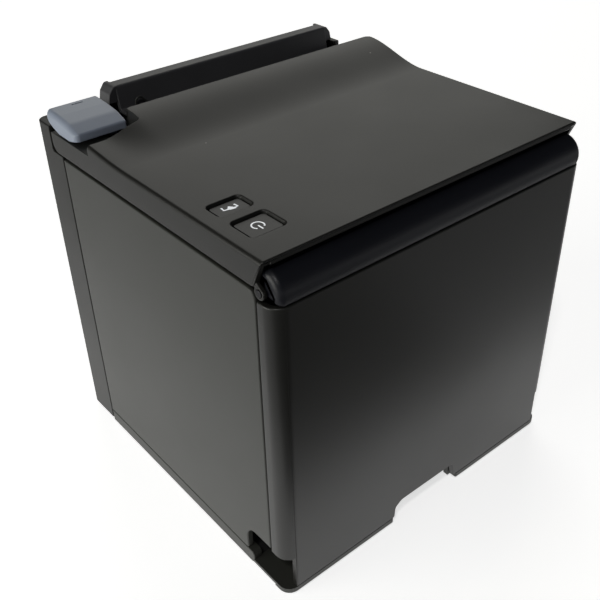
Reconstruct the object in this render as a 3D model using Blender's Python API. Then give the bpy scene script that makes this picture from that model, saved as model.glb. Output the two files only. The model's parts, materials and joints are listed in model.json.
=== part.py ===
"""Compact thermal receipt printer with a front-hinged lid, modelled in millimetres and built in metres.

Frame: +X to the right and +Y to the back when the printer's front is faced, +Z up.
The origin is the centre of the footprint, on the surface that the feet stand on.
"""
import math

import bmesh
import bpy
from mathutils import Matrix, Vector

MM = 0.001
GAP = 0.3                   # clearance between neighbouring solids

# Case
HALF = 63.5                 # half the width and half the depth
WALL = 2.0
BASE_Z = 1.5                # underside of the base
STRIP_Z = (0.8, 5.9)        # base strip that shows below the side panels
FRONT_STRIP_Z = (0.8, 2.7)  # base strip that shows below the front cover
FRONT_STRIP_X = 16.0        # inner end of that strip, beside the front cable exit
PANEL_Z = (6.2, 115.0)      # side panels
FRONT_Z = (3.0, 112.4)      # front cover
PANEL_Y = (-55.85, 47.3)
BAY_REAR_Y = -14.0          # wall of the cable bay that holds the sockets
BAY_TOP_Z = 20.0
CORNER_R = 5.0              # vertical front corners
REAR_CORNER_R = 3.0
COLUMN_Y = 54.3             # front face of the rear cover's columns, behind the lid's skirts
EXIT_Z = 17.5               # top of the side cable exits
EXIT_Y = -43.2
FRONT_EXIT = (15.5, 12.5)   # half width and top of the front cable exit

# Lid
HINGE = (-57.0, 115.0)      # y and z of the lid hinge
BAR_R = 6.5
LID_Z = 125.0
LID_FRONT_Y = -58.9
LID_REAR_Y = 37.0
SWOOP_Y = (8.0, 36.0)       # the lid rises between these depths
SWOOP_RISE = 5.5
SKIRT_X = 61.9              # inner face of the lid's side skirts
SKIRT_Z = 116.2
SKIRT_REAR_Y = 53.3
SHELF_Z = (121.9, 123.0)    # tongue of the lid under the lever
RECESS_X = -44.0            # right side of the lever recess
RECESS_Y = 28.0
RECESS_TOP_Z = 127.6
PIN_R = 1.1
EAR_R = 2.0

# Lever and latch
LATCH = (28.5, 119.0)       # y and z of the latch shaft
LATCH_R = 1.5
LEVER_X = (-63.1, -44.6)
STUD = (24.0, 105.5)        # y and z of the studs that the hooks catch
STUD_R = 1.3

# Paper path
PAPER_X = (-30.0, 51.0)     # between the walls of the roll bay
ROLL = (-14.0, 68.5)        # y and z of the roll bay's axis
BAY_R = 42.5
BAY_WALL = 1.5
PLATEN = (38.0, 112.0)
PLATEN_R = 6.0
SHAFT_R = 2.0
BEARING_R = 4.0
PLATE_X = (-35.2, 55.5)     # outer faces of the mechanism frame
PLATE_T = 1.2

# Gears
MODULE = 0.6
PLATEN_TEETH = 20
IDLER_TEETH = 40
PINION_TEETH = 12
CUTTER_TEETH = 14
GEAR_X = (-41.0, -36.6)
IDLER_LEAN = 10.0           # degrees from straight below the platen
PINION_LEAN = 8.0           # degrees from straight below the idler
TOOTH_WIDTH = 0.42          # share of the pitch that a tooth takes up, which leaves backlash

# Cutter
BLADE_Z = (120.0, 120.8)
BLADE_X = (-30.5, 51.5)
RACK_X = (20.0, 26.0)
RACK_PITCH_Z = 118.2
CUTTER_Y = 53.4             # axis of the cutter pinion

# Buttons
FEED_CAP = (-57.0, -46.7, -33.3, -27.0)
POWER_CAP = (-57.2, -46.6, -47.5, -38.4)


# ---------------------------------------------------------------- outlines

def arc(centre, radius, start, end, steps):
    """Points on an arc from start to end degrees."""
    points = []
    for index in range(steps + 1):
        angle = math.radians(start + (end - start) * index / steps)
        points.append((centre[0] + radius * math.cos(angle), centre[1] + radius * math.sin(angle)))
    return points


def rounded(corners, steps=4):
    """Outline through (x, y, radius) corners, where a radius above 0 rounds that corner."""
    points = []
    for index, (x, y, radius) in enumerate(corners):
        here = Vector((x, y))
        if radius == 0:
            points.append((x, y))
            continue
        before = (Vector(corners[index - 1][:2]) - here).normalized()
        after = (Vector(corners[(index + 1) % len(corners)][:2]) - here).normalized()
        half = before.angle(after) / 2
        centre = here + (before + after).normalized() * (radius / math.sin(half))
        start = here + before * (radius / math.tan(half)) - centre
        end = here + after * (radius / math.tan(half)) - centre
        turn = start.angle_signed(end)
        for step in range(steps + 1):
            spoke = Matrix.Rotation(-turn * step / steps, 2) @ start
            points.append(tuple(centre + spoke))
    return points


def rectangle(x0, x1, y0, y1, radius=0.0):
    """Rectangle outline, rounded where a radius is given."""
    return rounded([(x0, y0, radius), (x1, y0, radius), (x1, y1, radius), (x0, y1, radius)])


def swoop(y):
    """Height of the lid's top: level at the front, then a smooth S up to the rear edge."""
    share = min(max((y - SWOOP_Y[0]) / (SWOOP_Y[1] - SWOOP_Y[0]), 0.0), 1.0)
    return LID_Z + SWOOP_RISE * share * share * (3 - 2 * share)


def swoop_points(end_y, drop, limit=1000.0, steps=10):
    """Points along the lid's top from the front to end_y, lowered by drop."""
    points = [(LID_FRONT_Y, LID_Z - drop)]
    for index in range(steps + 1):
        y = SWOOP_Y[0] + (end_y - SWOOP_Y[0]) * index / steps
        points.append((y, min(swoop(y), limit) - drop))
    return points


def gear_outline(teeth, phase):
    """Straight-sided teeth, the first one centred on the phase angle in degrees."""
    radius = MODULE * teeth / 2
    pitch = 2 * math.pi / teeth
    points = []
    for index in range(teeth):
        middle = math.radians(phase) + index * pitch
        for share, height in ((-0.62, -1.2), (-0.32, 1.0), (0.32, 1.0), (0.62, -1.2)):
            angle = middle + share * pitch * TOOTH_WIDTH
            reach = radius + height * MODULE
            points.append((reach * math.cos(angle), reach * math.sin(angle)))
    return points


# ---------------------------------------------------------------- solids, in millimetres

AXES = {
    "x": (Vector((0, 1, 0)), Vector((0, 0, 1)), Vector((1, 0, 0))),
    "y": (Vector((1, 0, 0)), Vector((0, 0, 1)), Vector((0, 1, 0))),
    "z": (Vector((1, 0, 0)), Vector((0, 1, 0)), Vector((0, 0, 1))),
}


def prism(outline, axis, low, high):
    """Outline in the plane across the axis, extruded along the axis from low to high."""
    across, up, along = AXES[axis]
    solid = bmesh.new()
    corners = [solid.verts.new(across * a + up * b + along * low) for a, b in outline]
    face = solid.faces.new(corners)
    grown = bmesh.ops.extrude_face_region(solid, geom=[face])
    moved = [item for item in grown["geom"] if isinstance(item, bmesh.types.BMVert)]
    bmesh.ops.translate(solid, verts=moved, vec=along * (high - low))
    bmesh.ops.recalc_face_normals(solid, faces=solid.faces)
    return solid


def box(x0, x1, y0, y1, z0, z1):
    """Block between two corners."""
    return prism([(x0, y0), (x1, y0), (x1, y1), (x0, y1)], "z", z0, z1)


def turned(profile, axis, centre, segments=24, ring=False):
    """Profile of (place along the axis, radius) turned about the axis; a ring's profile is closed."""
    across, up, along = AXES[axis]
    middle = across * centre[0] + up * centre[1]
    solid = bmesh.new()
    loops = []
    for place, radius in profile:
        loop = []
        for index in range(segments):
            angle = 2 * math.pi * index / segments
            spoke = across * math.cos(angle) + up * math.sin(angle)
            loop.append(solid.verts.new(middle + along * place + spoke * radius))
        loops.append(loop)
    count = len(loops) if ring else len(loops) - 1
    for index in range(count):
        first = loops[index]
        second = loops[(index + 1) % len(loops)]
        for side in range(segments):
            after = (side + 1) % segments
            solid.faces.new((first[side], first[after], second[after], second[side]))
    if not ring:
        solid.faces.new(loops[0])
        solid.faces.new(loops[-1])
    bmesh.ops.recalc_face_normals(solid, faces=solid.faces)
    return solid


def cylinder(axis, centre, radius, low, high, segments=24):
    """Plain round bar."""
    return turned([(low, radius), (high, radius)], axis, centre, segments)


def tube(axis, centre, outer, inner, low, high, segments=24):
    """Round bar with a bore."""
    profile = [(low, outer), (high, outer), (high, inner), (low, inner)]
    return turned(profile, axis, centre, segments, ring=True)


def gear(teeth, phase, axis, centre, bore, low, high):
    """Spur gear with a round bore."""
    across, up, along = AXES[axis]
    middle = across * centre[0] + up * centre[1]
    outer = gear_outline(teeth, phase)
    inner = []
    for a, b in outer:
        scale = bore / math.hypot(a, b)
        inner.append((a * scale, b * scale))
    solid = bmesh.new()
    loops = []
    for outline, place in ((outer, low), (outer, high), (inner, high), (inner, low)):
        loops.append([solid.verts.new(middle + across * a + up * b + along * place) for a, b in outline])
    for index in range(4):
        first = loops[index]
        second = loops[(index + 1) % 4]
        for side in range(len(outer)):
            after = (side + 1) % len(outer)
            solid.faces.new((first[side], first[after], second[after], second[side]))
    bmesh.ops.recalc_face_normals(solid, faces=solid.faces)
    return solid


def coil(axis, centre, radius, wire, low, high, turns, sides=6):
    """Helical spring of round wire with flat-capped ends."""
    across, up, along = AXES[axis]
    middle = across * centre[0] + up * centre[1]
    steps = int(turns * 14)
    solid = bmesh.new()
    loops = []
    for index in range(steps + 1):
        angle = 2 * math.pi * turns * index / steps
        outward = across * math.cos(angle) + up * math.sin(angle)
        place = low + wire + (high - low - 2 * wire) * index / steps
        core = middle + outward * radius + along * place
        loop = []
        for side in range(sides):
            around = 2 * math.pi * side / sides
            spoke = outward * math.cos(around) + along * math.sin(around)
            loop.append(solid.verts.new(core + spoke * wire))
        loops.append(loop)
    for first, second in zip(loops, loops[1:]):
        for side in range(sides):
            after = (side + 1) % sides
            solid.faces.new((first[side], first[after], second[after], second[side]))
    solid.faces.new(loops[0])
    solid.faces.new(loops[-1])
    bmesh.ops.recalc_face_normals(solid, faces=solid.faces)
    return solid


# ---------------------------------------------------------------- objects and materials

FINISHES = {
    "case_plastic": ((0.022, 0.022, 0.021), 0.50, 0.0),
    "inner_plastic": ((0.030, 0.030, 0.031), 0.60, 0.0),
    "lever_plastic": ((0.205, 0.215, 0.235), 0.42, 0.0),
    "rubber": ((0.018, 0.018, 0.018), 0.85, 0.0),
    "roller_rubber": ((0.035, 0.035, 0.037), 0.70, 0.0),
    "sheet_steel": ((0.560, 0.570, 0.580), 0.32, 1.0),
    "spring_steel": ((0.480, 0.480, 0.490), 0.28, 1.0),
    "heat_sink_aluminium": ((0.700, 0.710, 0.720), 0.38, 1.0),
    "head_ceramic": ((0.420, 0.380, 0.330), 0.25, 0.0),
    "gear_plastic": ((0.720, 0.710, 0.660), 0.48, 0.0),
    "board_green": ((0.015, 0.110, 0.050), 0.45, 0.0),
    "socket_plastic": ((0.040, 0.040, 0.042), 0.45, 0.0),
}


def finish(name):
    """Principled material for a finish, made once."""
    if name in bpy.data.materials:
        return bpy.data.materials[name]
    colour, roughness, metallic = FINISHES[name]
    made = bpy.data.materials.new(name)
    made.use_nodes = True
    shader = made.node_tree.nodes["Principled BSDF"]
    shader.inputs["Base Color"].default_value = (*colour, 1.0)
    shader.inputs["Roughness"].default_value = roughness
    shader.inputs["Metallic"].default_value = metallic
    return made


def place(name, solid, origin=(0.0, 0.0, 0.0)):
    """Object from a solid in millimetres, with its own origin given in millimetres too."""
    shift = Vector(origin)
    for vert in solid.verts:
        vert.co = (vert.co - shift) * MM
    mesh = bpy.data.meshes.new(name)
    solid.to_mesh(mesh)
    solid.free()
    made = bpy.data.objects.new(name, mesh)
    made.location = shift * MM
    bpy.context.scene.collection.objects.link(made)
    return made


def node(name, solid, finish_name, origin=(0.0, 0.0, 0.0)):
    """One sub-part of the printer."""
    made = place(name, solid, origin)
    made.data.shade_smooth()
    made.data.set_sharp_from_angle(angle=math.radians(35))
    made.data.materials.append(finish(finish_name))
    return made


def combine(target, solid, operation):
    """Join a solid to the target, or cut it away, with a live Boolean."""
    index = len(target.modifiers)
    tool = place(f"tool_{target.name}_{index}", solid)
    tool.hide_render = True
    tool.display_type = "WIRE"
    boolean = target.modifiers.new(f"{operation.lower()}_{index}", "BOOLEAN")
    boolean.object = tool
    boolean.operation = operation
    boolean.solver = "EXACT"


def join(target, *solids):
    for solid in solids:
        combine(target, solid, "UNION")


def cut(target, *solids):
    for solid in solids:
        combine(target, solid, "DIFFERENCE")


# ---------------------------------------------------------------- case

SOCKETS = {
    # name: x range, top z, width and height of the mouth, z of the mouth's middle
    "dc_inlet": ((-30.0, -17.0), 18.2, 9.0, 8.0, 12.0),
    "usb_socket": ((-11.0, 1.0), 17.2, 8.6, 7.8, 11.7),
    "network_socket": ((9.0, 25.0), 19.2, 11.8, 8.0, 12.6),
    "drawer_socket": ((32.0, 46.0), 18.4, 9.8, 7.4, 12.2),
}
SOCKET_Z = 6.2
SOCKET_Y = (-14.6, 1.5)
FOOT_PLACES = {
    "left_rear": (-48, 48), "right_rear": (48, 48), "left_front": (-51, -54), "right_front": (51, -54),
}
SCREW_PLACES = {
    "left_front": (-48, -6), "left_rear": (-56, 36), "right_front": (57.5, -6), "right_rear": (57.5, 36),
}


def build_base():
    """Base: floor, cable bay open below, front wall, foot pads and the side strips."""
    inner = HALF - WALL - GAP
    floor = rounded([
        (-inner, BAY_REAR_Y, 0), (inner, BAY_REAR_Y, 0), (inner, inner, 2.0), (-inner, inner, 2.0),
    ])
    lap = BAY_REAR_Y + 1
    ceiling = rounded([
        (-inner, -inner, CORNER_R), (inner, -inner, CORNER_R), (inner, lap, 0), (-inner, lap, 0),
    ])
    base = node("base_case", prism(floor, "z", BASE_Z, BASE_Z + WALL), "case_plastic")
    join(base, box(-inner, inner, BAY_REAR_Y, BAY_REAR_Y + WALL, BASE_Z, BAY_TOP_Z + WALL))
    join(base, prism(ceiling, "z", BAY_TOP_Z, BAY_TOP_Z + WALL))
    wall_x = 57.5
    join(base, box(-wall_x, wall_x, -inner, -inner + WALL, BASE_Z, BAY_TOP_Z + 1))
    edge = HALF - 0.1
    strip_front = -46.0
    for side in (-1, 1):
        low, high = sorted((side * (inner - 1), side * edge))
        join(base, box(low, high, strip_front, PANEL_Y[1], *STRIP_Z))
        pad = rounded([
            (side * 40.0, -edge, 0), (side * edge, -edge, CORNER_R), (side * edge, strip_front + 0.5, 0),
            (side * 40.0, strip_front + 0.5, 0),
        ])
        join(base, prism(pad, "z", BASE_Z, FRONT_STRIP_Z[1]))
        rail = rounded([
            (side * FRONT_STRIP_X, -edge, 0), (side * edge, -edge, CORNER_R), (side * edge, -57.0, 0),
            (side * (edge - 2.6), -57.0, 0), (side * (edge - 2.6), -edge + 2.6, CORNER_R - 2.6),
            (side * FRONT_STRIP_X, -edge + 2.6, 0),
        ])
        join(base, prism(rail, "z", *FRONT_STRIP_Z))
    rim = 1.5
    mouth_x = FRONT_EXIT[0] - rim
    cut(base, box(-mouth_x, mouth_x, -inner - 1, -inner + WALL + 1, 0, FRONT_EXIT[1] - 1))
    for (x_low, x_high), top, _width, _height, _middle in SOCKETS.values():
        hole = (x_low - 0.4, x_high + 0.4, BAY_REAR_Y - 1, BAY_REAR_Y + WALL + 1, SOCKET_Z - 0.4, top + 0.4)
        cut(base, box(*hole))
    for x, y in SCREW_PLACES.values():
        cut(base, cylinder("z", (x, y), 1.6, 0, 6, 12))


def build_feet_and_screws():
    for name, (x, y) in FOOT_PLACES.items():
        profile = [(0.0, 5.2), (0.3, 5.5), (BASE_Z - GAP, 5.5)]
        node(f"foot_{name}", turned(profile, "z", (x, y)), "rubber", (x, y, 0))
    for name, (x, y) in SCREW_PLACES.items():
        profile = [(0.5, 2.2), (0.7, 2.6), (BASE_Z - GAP, 2.6), (BASE_Z - GAP, 1.3), (9.0, 1.3)]
        node(f"base_screw_{name}", turned(profile, "z", (x, y), 16), "spring_steel", (x, y, 0))


def build_side_panels():
    """Flat side panels with a rounded cut-out for the cable exit at the front foot."""
    corners = [
        (PANEL_Y[0], EXIT_Z, 0),
        (EXIT_Y, EXIT_Z, 5.0),
        (EXIT_Y, PANEL_Z[0], 0),
        (PANEL_Y[1], PANEL_Z[0], 0),
        (PANEL_Y[1], PANEL_Z[1], 0),
        (PANEL_Y[0], PANEL_Z[1], 3.5),
    ]
    outline = rounded(corners)
    node("left_side_panel", prism(outline, "x", -HALF, -HALF + WALL), "case_plastic")
    node("right_side_panel", prism(outline, "x", HALF - WALL, HALF), "case_plastic")


def wrap_outline(face_y, return_y, radius):
    """Plan of a cover that wraps round two corners, from one return to the other."""
    sign = math.copysign(1.0, face_y)
    inner = HALF - WALL
    corners = [
        (-HALF, return_y, 0),
        (-HALF, face_y, radius),
        (HALF, face_y, radius),
        (HALF, return_y, 0),
        (inner, return_y, 0),
        (inner, face_y - sign * WALL, radius - WALL),
        (-inner, face_y - sign * WALL, radius - WALL),
        (-inner, return_y, 0),
    ]
    return rounded(corners)


def build_front():
    """Front cover with its three cable exits, and the round bar above it that the lid swings about."""
    plan = wrap_outline(-HALF, PANEL_Y[0] - GAP, CORNER_R)
    cover = node("front_cover", prism(plan, "z", *FRONT_Z), "case_plastic")
    cut(cover, box(-FRONT_EXIT[0], FRONT_EXIT[0], -HALF - 1, -HALF + 3, 0, FRONT_EXIT[1]))
    cut(cover, box(-HALF - 1, -59.5, -HALF - 1, -50, 0, EXIT_Z - 0.9))
    cut(cover, box(59.5, HALF + 1, -HALF - 1, -50, 0, EXIT_Z - 0.9))

    bottom = FRONT_Z[1] + 0.5
    rear = -54.2
    start = 180 + math.degrees(math.asin((HINGE[1] - bottom) / BAR_R))
    outer = arc(HINGE, BAR_R, start, 80, 12)
    inner = arc(HINGE, BAR_R - WALL, 80, 180, 8)
    shell = outer + [(rear, 120.6), (rear, 118.8)] + inner + [(HINGE[0] - BAR_R + WALL, bottom)]
    end_x = 61.6
    bar = node("front_top_bar", prism(shell, "x", -end_x + 0.5, end_x - 0.5), "case_plastic")
    cap_rear = PANEL_Y[0] - GAP
    cap = arc(HINGE, BAR_R, start, 83, 12) + [(cap_rear, bottom)]
    for side in (-1, 1):
        low, high = sorted((side * (end_x - WALL), side * end_x))
        join(bar, prism(cap, "x", low, high))
        low, high = sorted((side * (end_x - WALL - 1), side * (end_x + 1)))
        cut(bar, cylinder("x", HINGE, PIN_R + 0.1, low, high))


def build_rear():
    """Rear cover round the back, and the cutter cover that stands up behind the paper slot."""
    step_z = 115.7
    top = 124.5
    plan = wrap_outline(HALF, PANEL_Y[1] + GAP, REAR_CORNER_R)
    cover = node("rear_cover", prism(plan, "z", 1.8, top), "case_plastic")
    for side in (-1, 1):
        low, high = sorted((side * 60, side * (HALF + 1)))
        cut(cover, box(low, high, 40, COLUMN_Y, step_z, top + 1))
    lintel = (COLUMN_Y + 0.4, HALF - 1, top - WALL, top - 0.01)
    join(cover, box(-HALF + 1, -42.4, *lintel))
    join(cover, box(61.0, HALF - 1, *lintel))

    shelf_y = 48.0
    section = [
        (shelf_y, 121.1), (shelf_y, 122.3), (54.5, 122.3), (56.2, 129.9), (56.9, 130.5), (61.5, 130.5),
        (62.9, 129.9), (HALF, 128.5), (HALF, top + GAP), (HALF - WALL, top + GAP), (HALF - WALL, 128.4),
        (58.0, 128.4), (56.2, 121.1),
    ]
    left, right = -36.6, 57.6
    wall = node("cutter_cover", prism(section, "x", left, right), "case_plastic")
    for edge, side in ((left, -1), (right, 1)):
        shoulder = [
            (edge - side * 0.5, 130.5), (edge + side * 0.8, 130.0), (edge + side * 2.6, 128.2),
            (edge + side * 3.4, top + GAP), (edge - side * 0.5, top + GAP),
        ]
        join(wall, prism(shoulder, "y", 56.4, HALF - 0.6))


# ---------------------------------------------------------------- lid

def skirt_outline(end_y, top_limit):
    """Side view of a lid skirt: slanted front end, hinge ear, straight lower edge, low rear tongue."""
    top = swoop_points(end_y, 0.6, top_limit)[1:]
    ear = arc(HINGE, EAR_R, 350, 150, 10)
    tail = rounded([(SKIRT_REAR_Y, SHELF_Z[1], 0), (SKIRT_REAR_Y, SKIRT_Z, 4.0), (0, SKIRT_Z, 0)])
    front = [(-59.2, LID_Z - 0.6)]
    lower = [(HINGE[0] + 2.6, SKIRT_Z)] + ear + [(-56.6, 119.4)]
    return front + top + [(end_y, SHELF_Z[1])] + tail[:-1] + lower


def build_lid_cover():
    """Outer lid: a two-millimetre shell that swoops up at the back, with skirts down both sides."""
    shell = swoop_points(LID_REAR_Y, 0.0) + list(reversed(swoop_points(LID_REAR_Y, WALL)))
    origin = (0, *HINGE)
    lid = node("lid_cover", prism(shell, "x", -HALF, HALF), "case_plastic", origin)
    cut(lid, box(-HALF - 1, RECESS_X, RECESS_Y, LID_REAR_Y + 1, 115, 140))
    cut(lid, box(-HALF - 1, RECESS_X, 15, RECESS_Y + 1, RECESS_TOP_Z, 140))
    join(lid, prism(skirt_outline(RECESS_Y, RECESS_TOP_Z), "x", -HALF, -SKIRT_X))
    join(lid, prism(skirt_outline(LID_REAR_Y, 1000.0), "x", SKIRT_X, HALF))
    wall = 1.5
    join(lid, box(-SKIRT_X - 0.5, RECESS_X + wall, RECESS_Y - wall, RECESS_Y, SHELF_Z[0], RECESS_TOP_Z - 0.6))
    side = [(RECESS_Y - wall, SHELF_Z[0]), (LID_REAR_Y, SHELF_Z[0])]
    side += reversed([(y, z) for y, z in swoop_points(LID_REAR_Y, 0.6) if y > RECESS_Y - wall])
    join(lid, prism(side, "x", RECESS_X, RECESS_X + wall))
    join(lid, box(-SKIRT_X - 0.5, RECESS_X + wall, RECESS_Y - wall, SKIRT_REAR_Y - 0.7, *SHELF_Z))
    cut(lid, box(-51.4, -46.0, RECESS_Y + 0.3, 50, SHELF_Z[0] - 1, SHELF_Z[1] + 1))
    for side in (-1, 1):
        low, high = sorted((side * 59.2, side * (SKIRT_X + 0.5)))
        join(lid, box(low, high, 25.5, 31.0, 116.6, 123.4 if side > 0 else SHELF_Z[0] + 0.5))
        join(lid, box(low, high, 24.0, 27.2, 120.0, 125.4))
        cut(lid, cylinder("x", LATCH, LATCH_R + 0.1, low - 1, high - 0.6 if side > 0 else high + 1))
        low, high = sorted((side * (SKIRT_X - 1), side * (HALF + 1)))
        cut(lid, cylinder("x", HINGE, PIN_R + 0.1, low, high))
    for x0, x1, y0, y1 in (FEED_CAP, POWER_CAP):
        cut(lid, prism(rectangle(x0 - GAP, x1 + GAP, y0 - GAP, y1 + GAP, 1.2), "z", 118, 130))


def build_hinge_pins():
    for name, side in (("left", -1), ("right", 1)):
        profile = [(side * 57.0, 1.8), (side * 59.2, 1.8), (side * 59.2, PIN_R), (side * 63.3, PIN_R)]
        node(f"hinge_pin_{name}", turned(profile, "x", HINGE), "spring_steel", (0, *HINGE))


def build_lid_inner_frame():
    """Inner moulding: stiffening plate, rear wall and ledge, and the two arms that carry the platen."""
    origin = (0, *HINGE)
    frame = node("lid_inner_frame", box(-41.8, 58.0, -52, 36.4, 121.4, 122.6), "inner_plastic", origin)
    join(frame, box(-41.8, 58.0, 34.8, 36.4, 122.0, 127.4))
    join(frame, box(-33.2, 53.6, 35.2, 42.8, 122.3, 123.5))
    arm = [(22, 122.0), (22, 117.4), (26.5, 115.6), (33.2, 111.4)]
    arm += arc(PLATEN, 4.4, 200, 370, 10)
    arm += [(41.2, 118.6), (37.5, 119.6), (36.4, 122.0)]
    for low, high in ((-33.3, -31.4), (51.9, 53.5)):
        join(frame, prism(arm, "x", low, high))
        cut(frame, cylinder("x", PLATEN, SHAFT_R + 0.2, low - 1, high + 1))
        cut(frame, cylinder("x", LATCH, LATCH_R + 0.1, low - 1, high + 1))


def build_buttons():
    """Two caps with a flange under the lid, above a small board with tact switches."""
    for name, (x0, x1, y0, y1) in (("feed", FEED_CAP), ("power", POWER_CAP)):
        middle = ((x0 + x1) / 2, (y0 + y1) / 2)
        origin = (*middle, LID_Z)
        body = prism(rectangle(x0, x1, y0, y1, 1.0), "z", 121.8, 124.8)
        cap = node(f"{name}_button", body, "case_plastic", origin)
        join(cap, box(x0 - 1.2, x1 + 1.2, y0 - 1.2, y1 + 1.2, 121.5, 122.4))
        switch = box(middle[0] - 2.5, middle[0] + 2.5, middle[1] - 2.5, middle[1] + 2.5, 118.5, 120.5)
        node(f"{name}_switch", switch, "socket_plastic", (0, *HINGE))
    node("button_board", box(-60, -44, -50, -24, 117.0, 118.2), "board_green", (0, *HINGE))


# ---------------------------------------------------------------- lever and latch

def build_lever():
    """Curved cap over the rear left corner, with a rib down to the latch shaft."""
    origin = (0, *LATCH)
    top = [
        (35.9, 124.6), (36.1, 126.4), (36.9, 127.5), (38.2, 128.2), (42.0, 128.8), (48.0, 129.4),
        (56.0, 129.8), (56.4, 129.2), (56.4, 127.8),
    ]
    lower = [(55.6, 127.0), (52.5, 124.9), (48.0, 123.6), (39.0, 123.5)]
    cap = node("lever", prism(top + lower, "x", *LEVER_X), "lever_plastic", origin)
    hollow = [
        (30.0, 120.0), (38.2, 124.0), (38.4, 125.8), (42.0, 126.9), (48.0, 127.5), (54.6, 127.8),
        (60.0, 122.0),
    ]
    cut(cap, prism(hollow, "x", LEVER_X[0] + 1.8, LEVER_X[1] - 1.6))
    rib = arc(LATCH, 2.6, 135, 330, 10)
    rib += [(39.5, 121.0), (49.0, 127.0), (48.0, 128.2), (38.6, 127.4), (33.0, 122.6)]
    join(cap, prism(rib, "x", -50.0, -47.6))
    cut(cap, cylinder("x", LATCH, LATCH_R + GAP, -51, -46))


def build_latch():
    """Shaft across the lid, a hook at each end of the mechanism, and the studs they catch."""
    origin = (0, *LATCH)
    shaft = turned([(-60.9, 1.3), (-60.7, LATCH_R), (60.3, LATCH_R), (60.5, 1.3)], "x", LATCH)
    node("latch_shaft", shaft, "sheet_steel", origin)
    hook = arc(LATCH, 3.2, 350, 190, 12)
    hook += [(27.2, 104.0), (25.6, 104.0), (25.6, 102.2), (26.4, 101.4), (29.4, 101.4), (30.2, 102.4)]
    for name, low, high in (("left", -45.0, -42.6), ("right", 56.4, 58.4)):
        made = node(f"latch_hook_{name}", prism(hook, "x", low, high), "sheet_steel", origin)
        cut(made, cylinder("x", LATCH, LATCH_R + GAP, low - 1, high + 1))
    for name, low, high in (("left", -46.0, PLATE_X[0] - GAP), ("right", PLATE_X[1] + GAP, 60.0)):
        node(f"latch_stud_{name}", cylinder("x", STUD, STUD_R, low, high, 16), "spring_steel", (0, *STUD))
    node("lever_spring", coil("x", LATCH, 2.3, 0.25, -56.0, -51.6, 4), "spring_steel", origin)


# ---------------------------------------------------------------- paper path

def build_roll_bay():
    """Bucket for the paper roll: a half-round floor between two cheeks, open at the top."""
    outer = [(ROLL[0] - BAY_R - BAY_WALL, 110.0)]
    outer += arc(ROLL, BAY_R + BAY_WALL, 180, 360, 20) + [(ROLL[0] + BAY_R + BAY_WALL, 104.0)]
    inner = [(ROLL[0] - BAY_R, 120.0)] + arc(ROLL, BAY_R, 180, 360, 20) + [(ROLL[0] + BAY_R, 120.0)]
    bay = node("roll_bay", prism(outer, "x", PAPER_X[0] - BAY_WALL, PAPER_X[1] + BAY_WALL), "inner_plastic")
    cut(bay, prism(inner, "x", *PAPER_X))
    for x in (-18.0, 36.0):
        join(bay, box(x, x + 3, -40, -16, BAY_TOP_Z + WALL + GAP, 28.0))
    node("paper_sensor", box(-33.7, -31.8, -20, -12, 34, 42), "socket_plastic")


def build_mechanism_frame():
    """Folded steel frame: two side plates joined at the back, slotted for the platen bearings."""
    rear_y = 60.2
    low_z, top_z = 3.8, 117.5
    plan = [
        (PLATE_X[0], 31), (PLATE_X[0], rear_y), (PLATE_X[1], rear_y), (PLATE_X[1], 31),
        (PLATE_X[1] - PLATE_T, 31), (PLATE_X[1] - PLATE_T, rear_y - PLATE_T),
        (PLATE_X[0] + PLATE_T, rear_y - PLATE_T), (PLATE_X[0] + PLATE_T, 31),
    ]
    frame = node("mechanism_frame", prism(plan, "z", low_z, top_z), "sheet_steel")
    cut(frame, box(-30, 50, 50, 70, 0, 45))
    for low in (PLATE_X[0], PLATE_X[1] - PLATE_T):
        high = low + PLATE_T
        join(frame, box(low, high, 20, 32, 98, 113.5))
        slot = [(PLATEN[0] + BEARING_R + GAP, 130.0)] + arc(PLATEN, BEARING_R + GAP, 0, -180, 12)
        slot += [(PLATEN[0] - BEARING_R - GAP, 130.0)]
        cut(frame, prism(slot, "x", low - 1, high + 1))
    idler, pinion = gear_centres()
    cut(frame, cylinder("x", pinion, 1.5, PLATE_X[0] - 1, PLATE_X[0] + PLATE_T + 1, 16))
    post = turned([(-42.3, 1.2), (-42.1, 1.5), (PLATE_X[0] - GAP, 1.5)], "x", idler)
    node("idler_post", post, "sheet_steel", (0, *idler))
    node("cover_switch", box(-41.0, PLATE_X[0] - GAP, 21.2, 26.4, 108.6, 113.4), "socket_plastic")


def build_thermal_head():
    """Ceramic strip on its heat sink, pressed to the platen by two springs."""
    pivot = (0, 47.0, 96.0)
    face_y = PLATEN[0] + PLATEN_R + GAP
    node("thermal_head", box(-29.5, 50.5, face_y, face_y + 1.0, 104, 115), "head_ceramic", pivot)
    node("head_heat_sink", box(-31, 51.5, face_y + 1.3, 48.0, 95, 116), "heat_sink_aluminium", pivot)
    node("head_spring_bracket", box(-33.7, 54.0, 53.8, 55.0, 98, 108), "sheet_steel")
    for name, x in (("left", -12.0), ("right", 38.0)):
        spring = coil("y", (x, 103.0), 2.6, 0.3, 48.3, 53.5, 4)
        node(f"head_spring_{name}", spring, "spring_steel", (x, 48.3, 103.0))


def gear_centres():
    """Idler and motor pinion centres, a pitch radius sum apart down the left side."""
    reach = MODULE * (PLATEN_TEETH + IDLER_TEETH) / 2
    lean = math.radians(IDLER_LEAN)
    idler = (PLATEN[0] + reach * math.sin(lean), PLATEN[1] - reach * math.cos(lean))
    reach = MODULE * (IDLER_TEETH + PINION_TEETH) / 2
    lean = math.radians(PINION_LEAN)
    pinion = (idler[0] + reach * math.sin(lean), idler[1] - reach * math.cos(lean))
    return idler, pinion


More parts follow.
